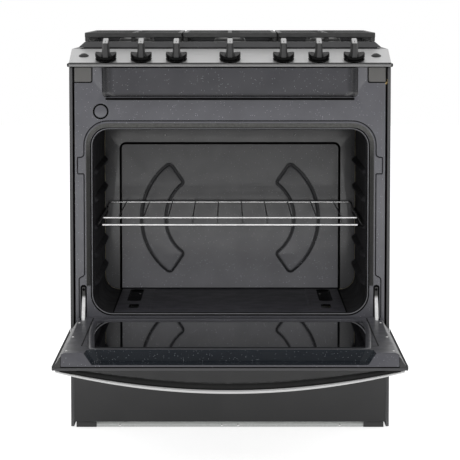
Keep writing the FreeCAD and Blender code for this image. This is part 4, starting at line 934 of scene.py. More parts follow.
def tube_pieces():
    """The bake and broil tubes, each closed at its ends and drilled along both sides, and the lamp."""
    shapes = []
    for size in (BAKE_TUBE, BROIL_TUBE):
        radius, half, front, back, height = size.values()
        corners = [(half, front), (half, back), (-half, back), (-half, front)]
        path = bend([(x, y, height) for x, y in corners], 40.0)
        tip = Vector((0.0, -6.0, 0.0))
        radii = [radius * 0.4] + [radius] * len(path) + [radius * 0.4]
        shapes.append(tube([path[0] + tip] + path + [path[-1] + tip], radii, 16))
        for side in (-1, 1):
            x = side * half - radius * 0.96
            for step in range(TUBE_PORTS):
                y = front + 16.0 + (back - front - 60.0) * step / (TUBE_PORTS - 1)
                shapes.append(tube([(x, y, height), (x - 0.8, y, height)], 1.4, 8))
    make_piece("oven_tubes", joined(*shapes), "burner_steel", "chassis", ("oven_burners",))

    def below_roof(u, v, drop):
        return (LAMP_X + u, LAMP_Y + v, LINER_HIGH.z - 2.5 - drop)

    lens = [(0.0, 0.0), (22.0, 0.0), (22.0, 2.0), (19.0, 5.0), (13.0, 8.0), (6.0, 9.6), (0.0, 10.0)]
    make_piece("lamp_lens", turned(lens, below_roof), "lamp_glass", "chassis", ("oven_lamp",))
    collar = [(22.2, 0.0), (29.0, 0.0), (29.5, 1.5), (27.0, 3.4), (22.2, 3.8), (22.2, 0.0)]
    make_piece("lamp_collar", turned(collar, below_roof), "burner_steel", "chassis")


def rack_pieces():
    """The bright cross wires, and the darker rails and thin wires that run front to back."""
    rail_z = RACK_LOW.z + 3.2
    deck_z = RACK_HIGH.z - 2.4
    side = RACK_HIGH.x - 3.4
    front = RACK_LOW.y + 3.2
    rear = RACK_REAR
    bright = [tube(across(-half, half, y, z), radius, 10) for y, z, half, radius in
              ((front, rail_z, 303.0, 2.7), (front + 3.0, deck_z, 301.0, 2.0), (rear, deck_z, 306.0, 1.9))]
    make_piece("rack_front_wires", joined(*bright), "rack_chrome", "oven_rack_body", ("oven_rack",))
    wires = []
    for index in range(RACK_WIRES):
        x = (index - (RACK_WIRES - 1) / 2) * RACK_WIRE_PITCH
        path = bend([(x, rear + 3.0, deck_z), (x, front + 5.0, deck_z), (x, front + 1.0, rail_z)], 4.0)
        wires.append(tube(path, 1.4, 8))
    for end in (-1, 1):
        rail = [(end * side, y, rail_z) for y in (rear + 12.0, 0.0, front + 8.0)]
        wires.append(tube(bend(rail + [(end * 303.0, front, rail_z)], 8.0), 2.7, 10))
        for y, half in ((front + 3.0, 301.0), (rear, 306.0)):
            link = [(end * side, y, rail_z), (end * (half + 3.0), y, deck_z), (end * (half - 2.0), y, deck_z)]
            wires.append(tube(bend(link, 5.0), 2.0, 8))
    make_piece("rack_wires", joined(*wires), "rack_chrome", "oven_rack_body", finish="wire_dark")


def gasket_piece():
    """The braided door seal: a round-backed band whose two ends tuck in above the hinges."""
    low = GASKET_LOW.z
    middle = GASKET_HIGH.x - 5.2
    top = GASKET_HIGH.z - 5.2
    corner = 45.0
    path = [(middle, low + 6.0)]
    for step in range(13):
        turn = math.radians(90.0 * step / 12)
        path.append((middle - corner + corner * math.cos(turn), top - corner + corner * math.sin(turn)))
    path += [(-x, z) for x, z in reversed(path)]
    profile = [(-5.0, 0.2), (-4.8, -1.5), (-3.7, -2.9), (-1.6, -3.5),
               (1.6, -3.5), (3.7, -2.9), (4.8, -1.5), (5.0, 0.2)]
    loops = []
    for index, (x, z) in enumerate(path):
        before = Vector(path[max(0, index - 1)])
        after = Vector(path[min(len(path) - 1, index + 1)])
        along = (after - before).normalized()
        out = Vector((along.y, -along.x))
        loops.append([front_point(x + out.x * u, z + out.y * u, depth) for u, depth in profile])
    make_piece("door_seal", loft(loops, capped=(True, True)), "gasket", "chassis", ("door_gasket",))
    # A near-black band just outside the mouth's bead: painted shadow.
    seat = ring_loops(opening_outline(), [(6.6, -0.3), (6.0, -0.6), (4.4, -0.6), (4.0, -0.3)], front_point)
    enamel_piece("seal_seat", loft(seat), sheet=0.3, finish="shadow_line")


def crescent_outline(side):
    """A bowed sector on the right or left of the back wall, with rounded corners."""
    centre_x, centre_z = CRESCENT_CENTRE
    steps = 20
    arcs = []
    for radius, order in zip(CRESCENT_RADII, (-1, 1)):
        for step in [-steps] + list(range(3 - steps, steps - 2)) + [steps]:
            angle = math.radians(order * CRESCENT_SWEEP * step / steps)
            corner = 10.0 if abs(step) == steps else 0.0
            arcs.append((centre_x + radius * math.cos(angle), centre_z + radius * math.sin(angle), corner))
    if side < 0:
        arcs = [(-x, z, corner) for x, z, corner in reversed(arcs)]
    return rounded(arcs, 5)


def back_wall_piece():
    """The back wall: a border, a grooved panel in it, and two crescents raised from the panel."""
    face = BACK_LOW.y + 2.5

    def at(x, z, depth=0.0):
        return (x, face + depth, z)

    edge = rounded_box_outline(-321.0, 321.0, 271.0, BACK_HIGH.z + 2.0, (37.0, 29.0), 10)
    groove = rounded_box_outline(-281.0, 281.0, 271.6, 648.0, (3.0, 14.0), 10)
    outer_edge = grown(groove, 3.0)
    outer_edge = [(x, max(z, 271.2)) for x, z in outer_edge]
    inner_edge = grown(groove, -3.0)
    bosses = [crescent_outline(side) for side in (-1, 1)]
    profile = [(4.2, 0.0), (3.4, 0.6), (-3.0, 0.6), (-5.0, -2.0), (-7.6, -2.5)]
    strip = filled([edge, outer_edge], at)
    centre = filled([inner_edge] + [grown(boss, 4.2) for boss in bosses], at)
    trench = loft([[at(x, z) for x, z in outer_edge], [at(x, z, 4.5) for x, z in groove],
                   [at(x, z) for x, z in inner_edge]])
    raised = []
    for boss in bosses:
        raised.append(loft(ring_loops(boss, profile, at)))
        raised.append(filled([grown(boss, -7.6)], lambda x, z: at(x, z, -2.5)))
    # The panel carries painted light and shade, and the border painted shade.
    enamel_piece("oven_back", joined(centre, *raised), ("oven_back_wall",), sheet=0.8, finish="back_enamel_painted_light_and_shade")
    enamel_piece("oven_back_border", strip, sheet=0.8, finish="strip_enamel_painted_shade")
    # The groove is lined in near-black: painted shadow.
    enamel_piece("oven_back_groove", trench, sheet=0.4, finish="shadow_line")
    # A dark ring along each crescent's edge: painted shade.
    crease = ((3.6, 0.3), (2.8, 0.1), (-2.6, 0.1), (-3.3, 0.3))
    creases = [loft(ring_loops(boss, crease, at)) for boss in bosses]
    enamel_piece("oven_back_creases", joined(*creases), sheet=0.3, finish="crease_painted_shade")


def floor_piece():
    """The lift-out floor with its oval pressings, vent slots and shallow middle."""

    def at(x, y, depth=0.0):
        return (x, y, FLOOR_HIGH.z - depth)

    edge = rounded_box_outline(FLOOR_LOW.x, FLOOR_HIGH.x, FLOOR_LOW.y, FLOOR_HIGH.y, 4.0, 4)
    middle = rounded_box_outline(-196.0, 196.0, FLOOR_LOW.y + 30.0, FLOOR_HIGH.y - 14.0, 16.0, 6)
    holes = [middle]
    wells = []
    dish = loft(ring_loops(middle, [(0.0, 0.0), (-2.0, 0.4), (-5.0, 1.8), (-8.0, 2.0)], at))
    dish_bottom = filled([grown(middle, -8.0)], lambda x, y: at(x, y, 2.0))
    for side in (-1, 1):
        oval = rounded_box_outline(side * 238.0 - 17.0, side * 238.0 + 17.0, -70.0, 180.0, 16.5, 8)
        vent = rounded_box_outline(side * 234.0 - 12.0, side * 234.0 + 12.0, -208.0, -134.0, 8.0, 6)
        holes += [oval, vent]
        wells.append(loft(ring_loops(oval, [(0.0, 0.0), (-1.5, 0.8), (-4.0, 4.0), (-8.0, 5.0)], at)))
        wells.append(filled([grown(oval, -8.0)], lambda x, y: at(x, y, 5.0)))
        wells.append(loft(ring_loops(vent, [(0.0, 0.0), (-0.6, 1.0), (-0.6, 4.0)], at)))
    rim = loft([[at(x, y, depth) for x, y in edge] for depth in (0.0, 1.8)])
    shape = joined(filled([edge] + holes, at), rim, dish, dish_bottom)
    enamel_piece("oven_floor", shape, ("oven_floor_panel",), sheet=0.8, finish="floor_enamel")
    # The wells and vent slots are near-black: painted shade.
    enamel_piece("oven_floor_wells", joined(*wells), sheet=0.6, finish="well_painted_shade")
    # Near-black strips along the floor's side edges: painted shadow.
    gap = ((-1.5, 2.4), (0.5, 2.5), (2.6, 0.6))
    edge_gap = loft([[(FLOOR_HIGH.x + x, y, FLOOR_LOW.z + z) for x, z in gap]
                     for y in (FLOOR_LOW.y, 0.0, FLOOR_HIGH.y)], closed=False)
    enamel_piece("oven_floor_seams", both_sides(edge_gap), sheet=0.4, finish="shadow_line")
    head = [(0.0, 0.0), (4.0, 0.0), (4.0, 1.5), (3.2, 2.6), (0.0, 3.2)]
    heads = [turned(head, facing_up(side * 229.0, 103.0, FLOOR_HIGH.z - 5.0), 24) for side in (-1, 1)]
    make_piece("floor_screws", joined(*heads), "screw_steel", "chassis")


# ---- door --------------------------------------------------------------------------
DOOR_LENGTH = PIVOT.y - DOOR_LOW.y
LINER_TOP = DOOR_HIGH.z - PIVOT.z
SKIN_OUT = OUTER_LOW.z - PIVOT.z
LINER_ROUND = 7.0
FRONT_SETBACK = 0.9
HEEL_RADIUS = 16.0
LINK_SLOT_HALF = 6.0
LINK_SLOT_END = 50.0
LINK_SLOT_NEAR = HINGE_X - LINK_SLOT_HALF
LINK_SLOT_FAR = HINGE_X + LINK_SLOT_HALF
RECESS_START = 535.0
RECESS_FLOOR = -9.0
RECESS_TOP_HALF = 311.0
RECESS_FLOOR_HALF = 294.0
WINDOW_HALF = 235.0
SKIN_EDGE = 2.0


def door_point(x, along, out):
    """World point of the open door: along from the pivot, out towards its inner side."""
    return (x, PIVOT.y - along, PIVOT.z + out)


def glass_outline():
    """The edge of the inner glass that the liner leaves in view."""
    near = PIVOT.y - GLASS_HIGH.y + 14.0
    far = 519.0
    return rounded(mirrored_corners([(310.0, near, 40.0), (307.0, 250.0, 300.0), (291.5, far, 12.0)]), 10)


def door_liner_parts():
    """The liner's flat face round the glass, its beads, its rolled sides and the heel round the pivot."""
    half = DOOR_HIGH.x
    inner_half = half - LINER_ROUND
    front = DOOR_LENGTH - 3.0
    slot = [(LINK_SLOT_NEAR, 0.0, 0.0), (LINK_SLOT_NEAR, LINK_SLOT_END, 3.0),
            (LINK_SLOT_FAR, LINK_SLOT_END, 3.0), (LINK_SLOT_FAR, 0.0, 0.0)]
    right = slot + [(inner_half, 0.0, 0.0), (inner_half, front, 0.0), (RECESS_TOP_HALF, front, 0.0),
                    (RECESS_TOP_HALF - 3, RECESS_START + 11, 2.0), (RECESS_TOP_HALF - 19, RECESS_START, 2.0)]
    corners = mirrored_corners(right)
    first = -len(slot) - 1
    edge = rounded(corners[first:] + corners[:first], 6)
    glass = glass_outline()
    plate = filled([edge, grown(glass, 15.0)], lambda x, along: door_point(x, along, LINER_TOP))
    bead = [(15.0, 0.0), (14.2, 1.8), (13.0, 1.8), (12.2, 0.2), (10.0, -0.9), (6.5, -1.2), (3.0, -0.9),
            (0.8, 0.2), (0.0, 1.6), (0.0, 2.8)]
    beads = loft(ring_loops(glass, bead, lambda x, along, depth: door_point(x, along, LINER_TOP - depth)))
    quarter = [math.radians(90.0 * step / 6) for step in range(7)]
    centre = LINER_TOP - LINER_ROUND
    rolled = [(inner_half + LINER_ROUND * math.sin(turn), centre + LINER_ROUND * math.cos(turn))
              for turn in quarter] + [(half, -2.0)]
    side = loft([[door_point(x, along, out) for x, out in rolled]
                 for along in (0.0, front, DOOR_LENGTH - 0.5)], closed=False)
    parts = [plate, beads, both_sides(side)]
    arc = [math.radians(100.0 * step / 10) for step in range(11)]
    middle = (-LINK_SLOT_NEAR, LINK_SLOT_NEAR)
    for ends in ((-inner_half, -LINK_SLOT_FAR), middle, (LINK_SLOT_FAR, inner_half)):
        parts.append(loft([[door_point(x, -HEEL_RADIUS * math.sin(turn), HEEL_RADIUS * math.cos(turn))
                            for turn in arc] for x in ends], closed=False))
    return parts


def hinge_wells():
    """Dark channels in the door that the hinge links swing through; their dark colour is painted shade."""
    near = LINK_SLOT_NEAR
    far = LINK_SLOT_FAR
    floor = -11.0
    loops = []
    for along in (-11.0, -6.0, 0.0, LINK_SLOT_END / 2, LINK_SLOT_END):
        top = math.sqrt(HEEL_RADIUS ** 2 - min(along, 0.0) ** 2) - 0.6
        section = ((near, top), (near, floor), (far, floor), (far, top))
        loops.append([door_point(x, along, out) for x, out in section])
    end = loops[-1][1:] + loops[-1][:1]
    shape = joined(loft(loops, closed=False), (end, [(0, 1, 2, 3)]))
    make_piece("hinge_wells", both_sides(shape), "door_enamel", "oven_door", sheet=0.4, finish="painted_shade_line")


def liner_front_parts():
    """The liner's front face under the recess, and the thin rounded edges over it."""
    half = DOOR_HIGH.x
    top = LINER_TOP
    sill = tube([door_point(x, DOOR_LENGTH - FRONT_SETBACK, RECESS_FLOOR - 0.4)
                 for x in (-293.0, -150.0, 0.0, 150.0, 293.0)], 0.9, 8)
    corner_edge = tube([door_point(x, DOOR_LENGTH - 2.2, top - 0.2)
                        for x in (313.0, 330.0, half - 8.0)], 0.9, 8)
    right = [(half, -13.0), (half, top - 3.0), (half - LINER_ROUND, top), (RECESS_TOP_HALF, top),
             (RECESS_FLOOR_HALF, RECESS_FLOOR)]
    outline = [(-right[0][0], right[0][1])] + right + [(-x, out) for x, out in reversed(right[1:])]
    face = filled([outline], lambda x, out: door_point(x, DOOR_LENGTH - FRONT_SETBACK, out))
    return [sill, both_sides(corner_edge), face]


def recess_piece():
    """The trough in the liner that the raised block fits when the door is shut."""
    right_top = [(292.0, RECESS_START), (308.0, 546.0), (RECESS_TOP_HALF, DOOR_LENGTH)]
    right_low = [(279.0, RECESS_START + 2.4), (291.0, 548.0), (RECESS_FLOOR_HALF, DOOR_LENGTH)]
    wall_top, wall_low = [[(-x, along) for x, along in reversed(right)] + right
                          for right in (right_top, right_low)]
    levels = []
    for share in (0.0, 0.12, 0.5, 0.9, 1.0):
        height = LINER_TOP + (RECESS_FLOOR - LINER_TOP) * share
        levels.append([door_point(a + (c - a) * share, b + (d - b) * share, height)
                       for (a, b), (c, d) in zip(wall_top, wall_low)])
    bottom = filled([wall_low], lambda x, along: door_point(x, along, RECESS_FLOOR))
    # The recess's darker enamel is painted shade.
    make_piece("door_recess", joined(loft(levels, closed=False), bottom), "door_enamel", "oven_door",
               sheet=0.8, finish="recess_painted_shade")


def glass_pieces():
    """The inner glass, and the printed border along its front edge."""
    pane = grown(glass_outline(), 10.0)

    def at(x, along, depth):
        return door_point(x, along, GLASS_HIGH.z - PIVOT.z - 2.6 - depth)

    edge = loft(ring_loops(pane, [(0.0, 3.0), (0.0, 0.5), (-0.5, 0.0)], at))
    faces = [filled([grown(pane, shift)], lambda x, along, depth=depth: at(x, along, depth))
             for shift, depth in ((0.0, 3.0), (-0.5, 0.0))]
    make_piece("door_glass", joined(edge, *faces), "black_glass", "oven_door", ("door_inner_glass",))
    border = rounded(mirrored_corners([(296.0, 479.0, 3.0), (292.0, 520.5, 8.0)]), 4)
    frit = joined(filled([border], lambda x, along: at(x, along, -0.15)),
                  loft([[at(x, along, depth) for x, along in border] for depth in (-0.15, 0.0)]))
    make_piece("door_glass_frit", frit, "black_glass", "oven_door", finish="glass_frit")


def door_pieces():
    """Everything that swings with the door, apart from its screws."""
    parts = door_liner_parts()
    recess_piece()
    make_piece("door_liner", joined(*parts, *liner_front_parts()), "door_enamel", "oven_door",
               ("door_inner_liner",), sheet=0.8)
    glass_pieces()
    # Dark lines along the liner's sides: painted shade.
    crease = []
    for width, height in ((-1.5, 0.1), (-1.0, 0.25), (1.0, 0.25), (1.5, 0.1)):
        line = ((322.0 + width, 12.0), (322.0 + width, 482.0 + width), (309.0, 482.0 + width))
        crease.append([door_point(x, along, LINER_TOP + height) for x, along in line])
    make_piece("door_creases", both_sides(loft(crease, closed=False)), "door_enamel", "oven_door", sheet=0.2,
               finish="painted_shade_line")
    hinge_wells()
    door_shell()
    handle_piece()


def door_shell():
    """The brushed outer panel with its turned-up edges, and the slanted plastic end trims."""
    out = SKIN_OUT
    half = OUTER_HIGH.x
    inner = half - SKIN_EDGE
    window = rounded_box_outline(-WINDOW_HALF, WINDOW_HALF, 165.0, 435.0, 14.0, 6)
    edge = rounded_box_outline(-inner, inner, -14.0, DOOR_LENGTH - 1.5, 0.0)
    face = filled([edge, window], lambda x, along: door_point(x, along, out))
    lip = loft(ring_loops(window, [(0.0, 0.0), (-1.0, -0.5), (-1.0, -3.0)],
                          lambda x, along, depth: door_point(x, along, out - depth)))
    walls = [(0.0, 0.0), (1.4, -0.6), (2.0, -2.0), (2.0, -9.0)]
    side = loft([[door_point(inner + grow, along, out - depth) for grow, depth in walls]
                 for along in (-14.0, DOOR_LENGTH)], closed=False)
    heel = loft([[door_point(x, -14.0 - grow, out - depth) for grow, depth in walls]
                 for x in (-inner, inner)], closed=False)
    lip_profile = [(-1.1, 0.2), (-0.7, -0.2), (-0.5, -1.0), (-0.5, -5.0), (-0.8, -5.6)]
    turned_up = loft([[door_point(x, DOOR_LENGTH + grow, out - depth) for grow, depth in lip_profile]
                      for x in (-inner, inner)], closed=False)
    # The turned-up edge's darker steel is painted reflection.
    make_piece("door_skin_edge", turned_up, "stainless", "oven_door", sheet=0.6, finish="door_edge_painted_reflection")
    # A near-black strip in the gap across the door's front: painted shadow.
    gap = loft([[door_point(x, DOOR_LENGTH - 2.0, height) for height in (-16.5, -11.0)]
                for x in (-half + 6.0, half - 6.0)], closed=False)
    make_piece("door_front_gap", gap, "stainless", "oven_door", sheet=0.4, finish="shadow_line")
    make_piece("door_skin", face, "stainless", "oven_door", ("door_outer_panel",), sheet=-0.8)
    make_piece("door_skin_window_lip", lip, "stainless", "oven_door", sheet=-0.4)
    make_piece("door_skin_sides", joined(both_sides(side), heel), "stainless", "oven_door", sheet=-0.8)
    section = [(360.6, -19.5), (375.5, -19.5), (376.4, -17.0), (374.0, -11.0), (367.5, -2.0), (363.0, 6.0),
               (360.6, 8.0)]
    trim = loft([[door_point(x, along, v) for x, v in section] for along in (-10.0, DOOR_LENGTH - 1.5)],
                capped=(True, True))
    make_piece("door_end_trims", both_sides(trim), "trim_paint", "oven_door", ("door_side_trims",), bevel=0.8)


def handle_section(x, low, high, depth, y):
    """One cross-section of a bar that runs along X, softly rounded at its front."""
    middle = (low + high) / 2
    half = (high - low) / 2
    ring = []
    for step in range(16):
        turn = 2 * math.pi * (step + 0.5) / 16
        across = math.copysign(abs(math.cos(turn)) ** 0.5, math.cos(turn))
        up = math.copysign(abs(math.sin(turn)) ** 0.7, math.sin(turn))
        ring.append((x, y + depth * across, middle + half * up))
    return ring


def handle_piece():
    """The bowed bar under the door's front edge: dark body, bright lower edge, pointed ends."""
    y = (HANDLE_LOW.y + HANDLE_HIGH.y) / 2
    half = HANDLE_HIGH.x - 1.0
    end_low = OUTER_LOW.z - 7.5
    middle_low = HANDLE_LOW.z + 0.4
    steps = 64
    bright = []
    dark = []
    for step in range(steps + 1):
        x = half * (2.0 * step / steps - 1.0)
        share = abs(x) / half
        low = middle_low + (end_low - middle_low) * share ** 2
        edge = 10.0 - 4.0 * share ** 3
        body = 1.0 + 11.5 * (1.0 - share ** 7)
        depth = 12.0 - 5.0 * share ** 6
        bright.append(handle_section(x, low, low + edge, depth, y))
        high = min(low + edge + body, OUTER_LOW.z - 0.3)
        dark.append(handle_section(x, low + edge - 1.0, high, depth * 0.92, y))
    make_piece("door_handle_edge", loft(bright, capped=(True, True)), "handle_metal", "oven_door",
               ("door_handle",))
    outline = rounded_box_outline(half - 46.0, half - 8.0, y - 10.0, y + 10.0, 6.0, 5)
    foot = loft([[(u, v, z) for u, v in outline] for z in (end_low + 2.5, OUTER_LOW.z)], capped=(True, True))
    bar = joined(loft(dark, capped=(True, True)), both_sides(foot))
    make_piece("door_handle_bar", bar, "handle_metal", "oven_door", finish="handle_dark")


# ---- control panel --------------------------------------------------------------------
TILT = math.atan2(32.0, 121.0)
NOSE_TOP = 866.0
NOSE_BOTTOM = 857.5
KNOB_RADIUS = 25.0
KNOB_STEPS = 48
SKIRT_LOW = 8.0


def on_panel(x, setback=KNOB_SETBACK):
    """Turn (across, up the slope, away from it) into a point at a spot on the sloping panel."""
    def place(u, v, height):
        run = setback + v
        y = PANEL_LOW.y + run * math.cos(TILT) - height * math.sin(TILT)
        z = NOSE_TOP + run * math.sin(TILT) + height * math.cos(TILT)
        return (x + u, y, z)
    return place


def panel_piece():
    """The folded steel skin: a sloping top, a rounded nose with a shadow line, and closed ends."""
    y = PANEL_LOW.y
    outline = [(FRONT + 1.0, NOSE_BOTTOM), (y + 1.2, NOSE_BOTTOM), (y, 858.7), (y, 864.6), (y + 0.5, 865.7),
               (y + 1.6, 866.3), (PANEL_HIGH.y - 2.0, PANEL_HIGH.z - 0.6),
               (PANEL_HIGH.y - 0.5, PANEL_HIGH.z - 0.9), (PANEL_HIGH.y, PANEL_HIGH.z - 2.5),
               (PANEL_HIGH.y, PANEL_HIGH.z - 12.0)]
    half = PANEL_HIGH.x
    xs = [-half, -half + 1.5] + [half * step / 24 for step in range(-23, 24)] + [half - 1.5, half]
    skin = loft([[(x, u, v) for u, v in outline] for x in xs], closed=False)
    end = filled([outline + [(PANEL_HIGH.y, NOSE_BOTTOM)]], lambda u, v: (half, u, v))
    make_piece("panel_skin", joined(skin, both_sides(end)), "stainless", "chassis", ("control_panel",))
    # The nose strip's darker steel is painted reflection.
    strip = ((0.4, 858.6), (-0.2, 859.2), (-0.2, 864.8), (0.4, 865.4))
    nose = loft([[(x, y + run, z) for run, z in strip] for x in (-half + 0.5, half - 0.5)], closed=False)
    make_piece("panel_nose", nose, "stainless", "chassis", sheet=0.3, finish="nose_painted_reflection")
    # Near-black bars along the nose's upper and lower folds: painted shadow.
    folds = [tube(across(-half, half, y + 1.2, z), radius, 8) for z, radius in ((866.2, 1.2), (857.9, 1.3))]
    make_piece("panel_folds", joined(*folds), "stainless", "chassis", finish="shadow_line")


def knob_pieces(name, body, node, x):
    """A knob with a scooped skirt, a flared grip and a bright inlay along the grip's top."""
    place = on_panel(x)
    loops = []
    for radius, base, scoop in ((0.1, 13.0, 0.0), (8.0, 13.0, 1.0), (14.0, 13.0, 1.0), (19.0, 13.0, 1.0),
                                (22.5, 13.0, 1.0), (24.4, 12.6, 1.0), (KNOB_RADIUS, 11.6, 0.9),
                                (KNOB_RADIUS, SKIRT_LOW + 0.6, 0.0), (24.2, SKIRT_LOW, 0.0)):
        loops.append([place(u, v, base + scoop * 7.0 * (abs(u) / KNOB_RADIUS) ** 2.5)
                      for u, v in circle(0.0, 0.0, radius, KNOB_STEPS)])
    collar = turned([(0.0, 8.6), (20.2, 8.6), (20.2, 4.6), (19.0, 4.2), (4.0, 4.2), (0.0, 4.2)], place)
    skirt = joined(loft(loops, capped=(True, True)), collar)
    levels = [(10.0, 10.0, 22.5), (13.0, 9.6, 23.2), (17.0, 9.0, 23.4), (24.0, 8.4, 23.2), (36.0, 7.6, 22.6),
              (46.0, 7.0, 22.0), (47.0, 6.2, 21.2)]
    grip_loops = []
    for height, wide, deep in levels:
        chamfer = wide * 0.45
        flank = deep - chamfer * 1.6
        nose = wide - chamfer
        corners = [(-wide, -flank), (-nose, -deep), (nose, -deep), (wide, -flank),
                   (wide, flank), (nose, deep), (-nose, deep), (-wide, flank)]
        outline = rounded([(u, v, 1.2) for u, v in corners], 2)
        grip_loops.append([place(u, v, height) for u, v in outline])
    grip = loft(grip_loops, capped=(True, True))
    make_piece(name, skirt, "knob_black", body, (node,), finish="skirt_black")
    make_piece(name + "_grip", grip, "knob_black", body)
    cap_outline = rounded_box_outline(-5.6, 5.6, -20.5, 20.5, 1.6, 4)
    cap = loft([[place(u, v, height) for u, v in grown(cap_outline, shift)]
                for height, shift in ((46.5, 0.0), (47.5, 0.0), (47.9, -0.5))], capped=(True, True))
    make_piece(name + "_inlay", cap, "handle_metal", body)
    mark = loft([[place(u, v, height) for u, v in rounded_box_outline(-0.8, 0.8, -15.0, -4.0, 0.7, 3)]
                 for height in (47.6, 48.2)], capped=(True, True))
    make_piece(name + "_mark", mark, "black_plastic", body)


def bezel_piece():
    """Cup-shaped bezels under the knobs, narrower at the panel."""
    profile = [(20.5, 0.0), (22.6, 0.4), (24.3, 1.6), (25.0, 3.0), (25.0, 3.9), (24.4, 4.5), (22.0, 4.6),
               (21.4, 4.0), (21.4, 0.7), (6.5, 0.7), (6.5, 0.0)]
    rings = [turned(profile + profile[:1], on_panel(x), KNOB_STEPS) for x in KNOB_X + (0.0,)]
    make_piece("knob_cups", joined(*rings), "knob_black", "chassis", ("knob_bezels",), finish="skirt_black")


def button_piece(name, node, body, side):
    """A domed push button, and the ring that guides it."""
    place = on_panel(side * BUTTON_X, BUTTON_SETBACK)
    cap = turned([(0.0, -4.0), (10.4, -4.0), (10.4, 0.6), (10.0, 1.4), (8.6, 3.2), (6.2, 4.9), (3.2, 5.9),
                  (0.0, 6.2)], place)
    make_piece(name, cap, "black_plastic", body, (node,))
    ring = turned([(10.5, 0.0), (11.6, 0.0), (11.9, 0.8), (11.3, 1.3), (10.5, 0.9), (10.5, 0.0)], place)
    make_piece(name + "_ring", ring, "black_plastic", "chassis")


def control_pieces():
    """The panel, its knobs from left to right, and its two buttons."""
    panel_piece()
    bezel_piece()
    for number, x in enumerate(KNOB_X, start=1):
        knob_pieces(f"knob_{number}", f"dial_{number}", f"burner_knob_{number}", x)
    knob_pieces("knob_oven", "oven_dial", "oven_knob", 0.0)
    button_piece("spark_button", "ignition_button", "ignition_push", -1)
    button_piece("lamp_button", "light_button", "light_push", 1)


# ---- small hardware -----------------------------------------------------------------
def hinge_link_piece():
    """The zinc-plated links that the door swings on, with a rivet through each."""
    outline = [(8, -4), (22, 16), (41, 16), (41, 86), (24, 86), (24, 60), (6, 30), (-8, 5)]
    links = loft([[(HINGE_X + shift, PIVOT.y + dy, PIVOT.z + dz) for dy, dz in outline]
                  for shift in (-4.2, 4.2)], capped=(True, True))
    # The links' bright zinc is painted highlight, and their dark part inside the slots painted shade.
    make_piece("hinge_links", both_sides(links), "galvanised_steel", "chassis", ("hinge_arms",), bevel=1.2,
               finish="arm_zinc_painted_light_and_shade")
    # The rivet heads are near black: painted shadow.
    at = facing_front(HINGE_X, PIVOT.y + 24.0, 330.0)
    rivet = turned([(0.0, -1.0), (3.2, -1.0), (3.2, 0.4), (2.2, 1.0), (0.0, 1.2)], at, 20)
    make_piece("hinge_rivets", both_sides(rivet), "galvanised_steel", "chassis", finish="shadow_line")


def screw_head(at, radius, height):
    """A domed head whose cross is shown only as a round sunken centre."""
    return turned([(0.0, 0.0), (radius, 0.0), (radius, height * 0.35), (radius * 0.8, height * 0.8),
                   (radius * 0.45, height), (radius * 0.3, height * 0.55), (0.0, height * 0.5)], at, 24)


def screw_pieces():
    """The heads of the screws and rivets that show."""
    back_wall = [screw_head(facing_front(x, BACK_LOW.y + 2.4, 668.7), 2.3, 1.8) for x in (-167.0, 167.0)]
    rear = [screw_head(facing_front(x, 319.7, z, 1.0), 4.6, 2.4)
            for x in (-360.0, 360.0) for z in (60.0, 300.0, 560.0, 840.0)]
    make_piece("chassis_screw_heads", joined(*back_wall, *rear), "screw_steel", "chassis",
               ("chassis_screws",))
    liner = [screw_head(facing_up(x, PIVOT.y - along, DOOR_HIGH.z), 3.4, 1.6)
             for x in (-349.0, 349.0) for along in (100.0, 340.0, 560.0)]
    make_piece("door_screw_heads", joined(*liner), "screw_steel", "oven_door", ("door_screws",))
    base = [screw_head(facing_front(x, BASE_LOW.y, 4.6), 2.6, 1.2) for x in (-262.0, -19.5, 19.5, 262.0)]
    make_piece("base_rivets", joined(*base), "screw_steel", "chassis")


# ---- cooktop -----------------------------------------------------------------------
BURNER_PORTS = 24
PORT_RADIUS = 37.5
RAIL_SIDES = (337.5, 345.5)
RAIL_FRONT = -202.0
RAIL_REAR = 282.0
RAIL_TOP = 924.6
RAIL_BOTTOM = 915.2


def burner_pieces():
    """Six burner heads ribbed between their ports, each with an enamelled lid."""
    head = [(20.0, 905.0), (43.0, 905.0), (43.0, 906.4), (39.0, 908.0), (38.5, 914.5), (36.0, 915.2),
            (20.0, 915.2), (20.0, 905.0)]
    cap = [(0.0, 915.3), (37.5, 915.3), (38.0, 916.2), (37.0, 919.2), (34.0, 921.2), (26.0, 922.0),
           (24.0, 921.6), (0.0, 921.4)]
    places = [(x, y) for x in BURNER_X for y in BURNER_Y]
    heads = [turned(head, facing_up(x, y, 0.0), 48) for x, y in places]
    caps = [turned(cap, facing_up(x, y, 0.0), 48) for x, y in places]
    ribs = [tube([(u, v, 909.0), (u, v, 914.0)], 1.6, 6)
            for x, y in places for u, v in circle(x, y, PORT_RADIUS, BURNER_PORTS)]
    make_piece("burner_bases", joined(*heads, *ribs), "burner_aluminium", "chassis", ("burner_heads",))
    make_piece("burner_lids", joined(*caps), "cap_enamel", "chassis", ("burner_caps",))


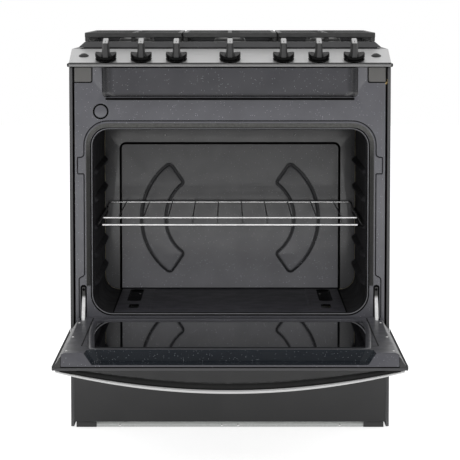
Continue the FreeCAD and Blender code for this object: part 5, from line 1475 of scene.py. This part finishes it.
def grate_rails():
    """Deep outer rails under the side grates, scalloped along their lower edge."""
    for side, node in ((-1, "grate_left"), (1, "grate_right")):
        loops = []
        for x in RAIL_SIDES:
            ring = [(side * x, RAIL_FRONT, RAIL_TOP), (side * x, RAIL_REAR, RAIL_TOP)]
            for step in range(41):
                y = RAIL_REAR - (RAIL_REAR - RAIL_FRONT) * step / 40
                ring.append((side * x, y, RAIL_BOTTOM + 1.6 * math.sin(math.pi * (step % 10) / 10.0)))
            loops.append(ring)
        make_piece(node + "_rail", loft(loops, capped=(True, True)), "grate_iron", BODY_OF[node])


def make_floor():
    """A round sheet of pale card that glows a little, so that shadows on it stay soft."""
    mesh = bpy.data.meshes.new("studio_floor")
    edge = circle(0.0, 0.0, FLOOR_RADIUS, 96)
    mesh.from_pydata([(x, y, 0.0) for x, y in edge], [], [tuple(range(len(edge)))])
    floor = bpy.data.objects.new("studio_floor", mesh)
    bpy.context.scene.collection.objects.link(floor)
    glow = {"Emission Color": (1.0, 1.0, 1.0, 1.0), "Emission Strength": FLOOR_GLOW}
    recipe = Recipe("floor_card", (FLOOR_ALBEDO, FLOOR_ALBEDO, FLOOR_ALBEDO), 0.7, **glow)
    recipe.mottled(900.0, 0.01)
    mesh.materials.append(recipe.material)


# ---- build everything -------------------------------------------------------------------
SOFTENED_EDGES = (("grate_left", 1.8), ("grate_centre", 1.8), ("grate_right", 1.8), ("cooktop", 1.2),
                  ("drawer_front", 1.2), ("drawer_box", 0.4), ("side_panel_left", 0.5),
                  ("side_panel_right", 0.5), ("rear_vent_trim", 1.2), ("corner_brackets", 0.8),
                  ("door_outer_glass", 0.6), ("rear_panel", 0.3), ("base_frame", 0.6))

make_camera()
make_studio()
dress_cad_nodes()
front_frame_piece()
corner_plates()
plug_pieces()
hinge_pockets()
oven_pieces()
door_pieces()
front_block_piece()
hinge_link_piece()
screw_pieces()
control_pieces()
burner_pieces()
grate_rails()
for node, width in SOFTENED_EDGES:
    softened(node, width)
softened("panel_end_caps", 0.9, finish="skirt_black")
make_floor()
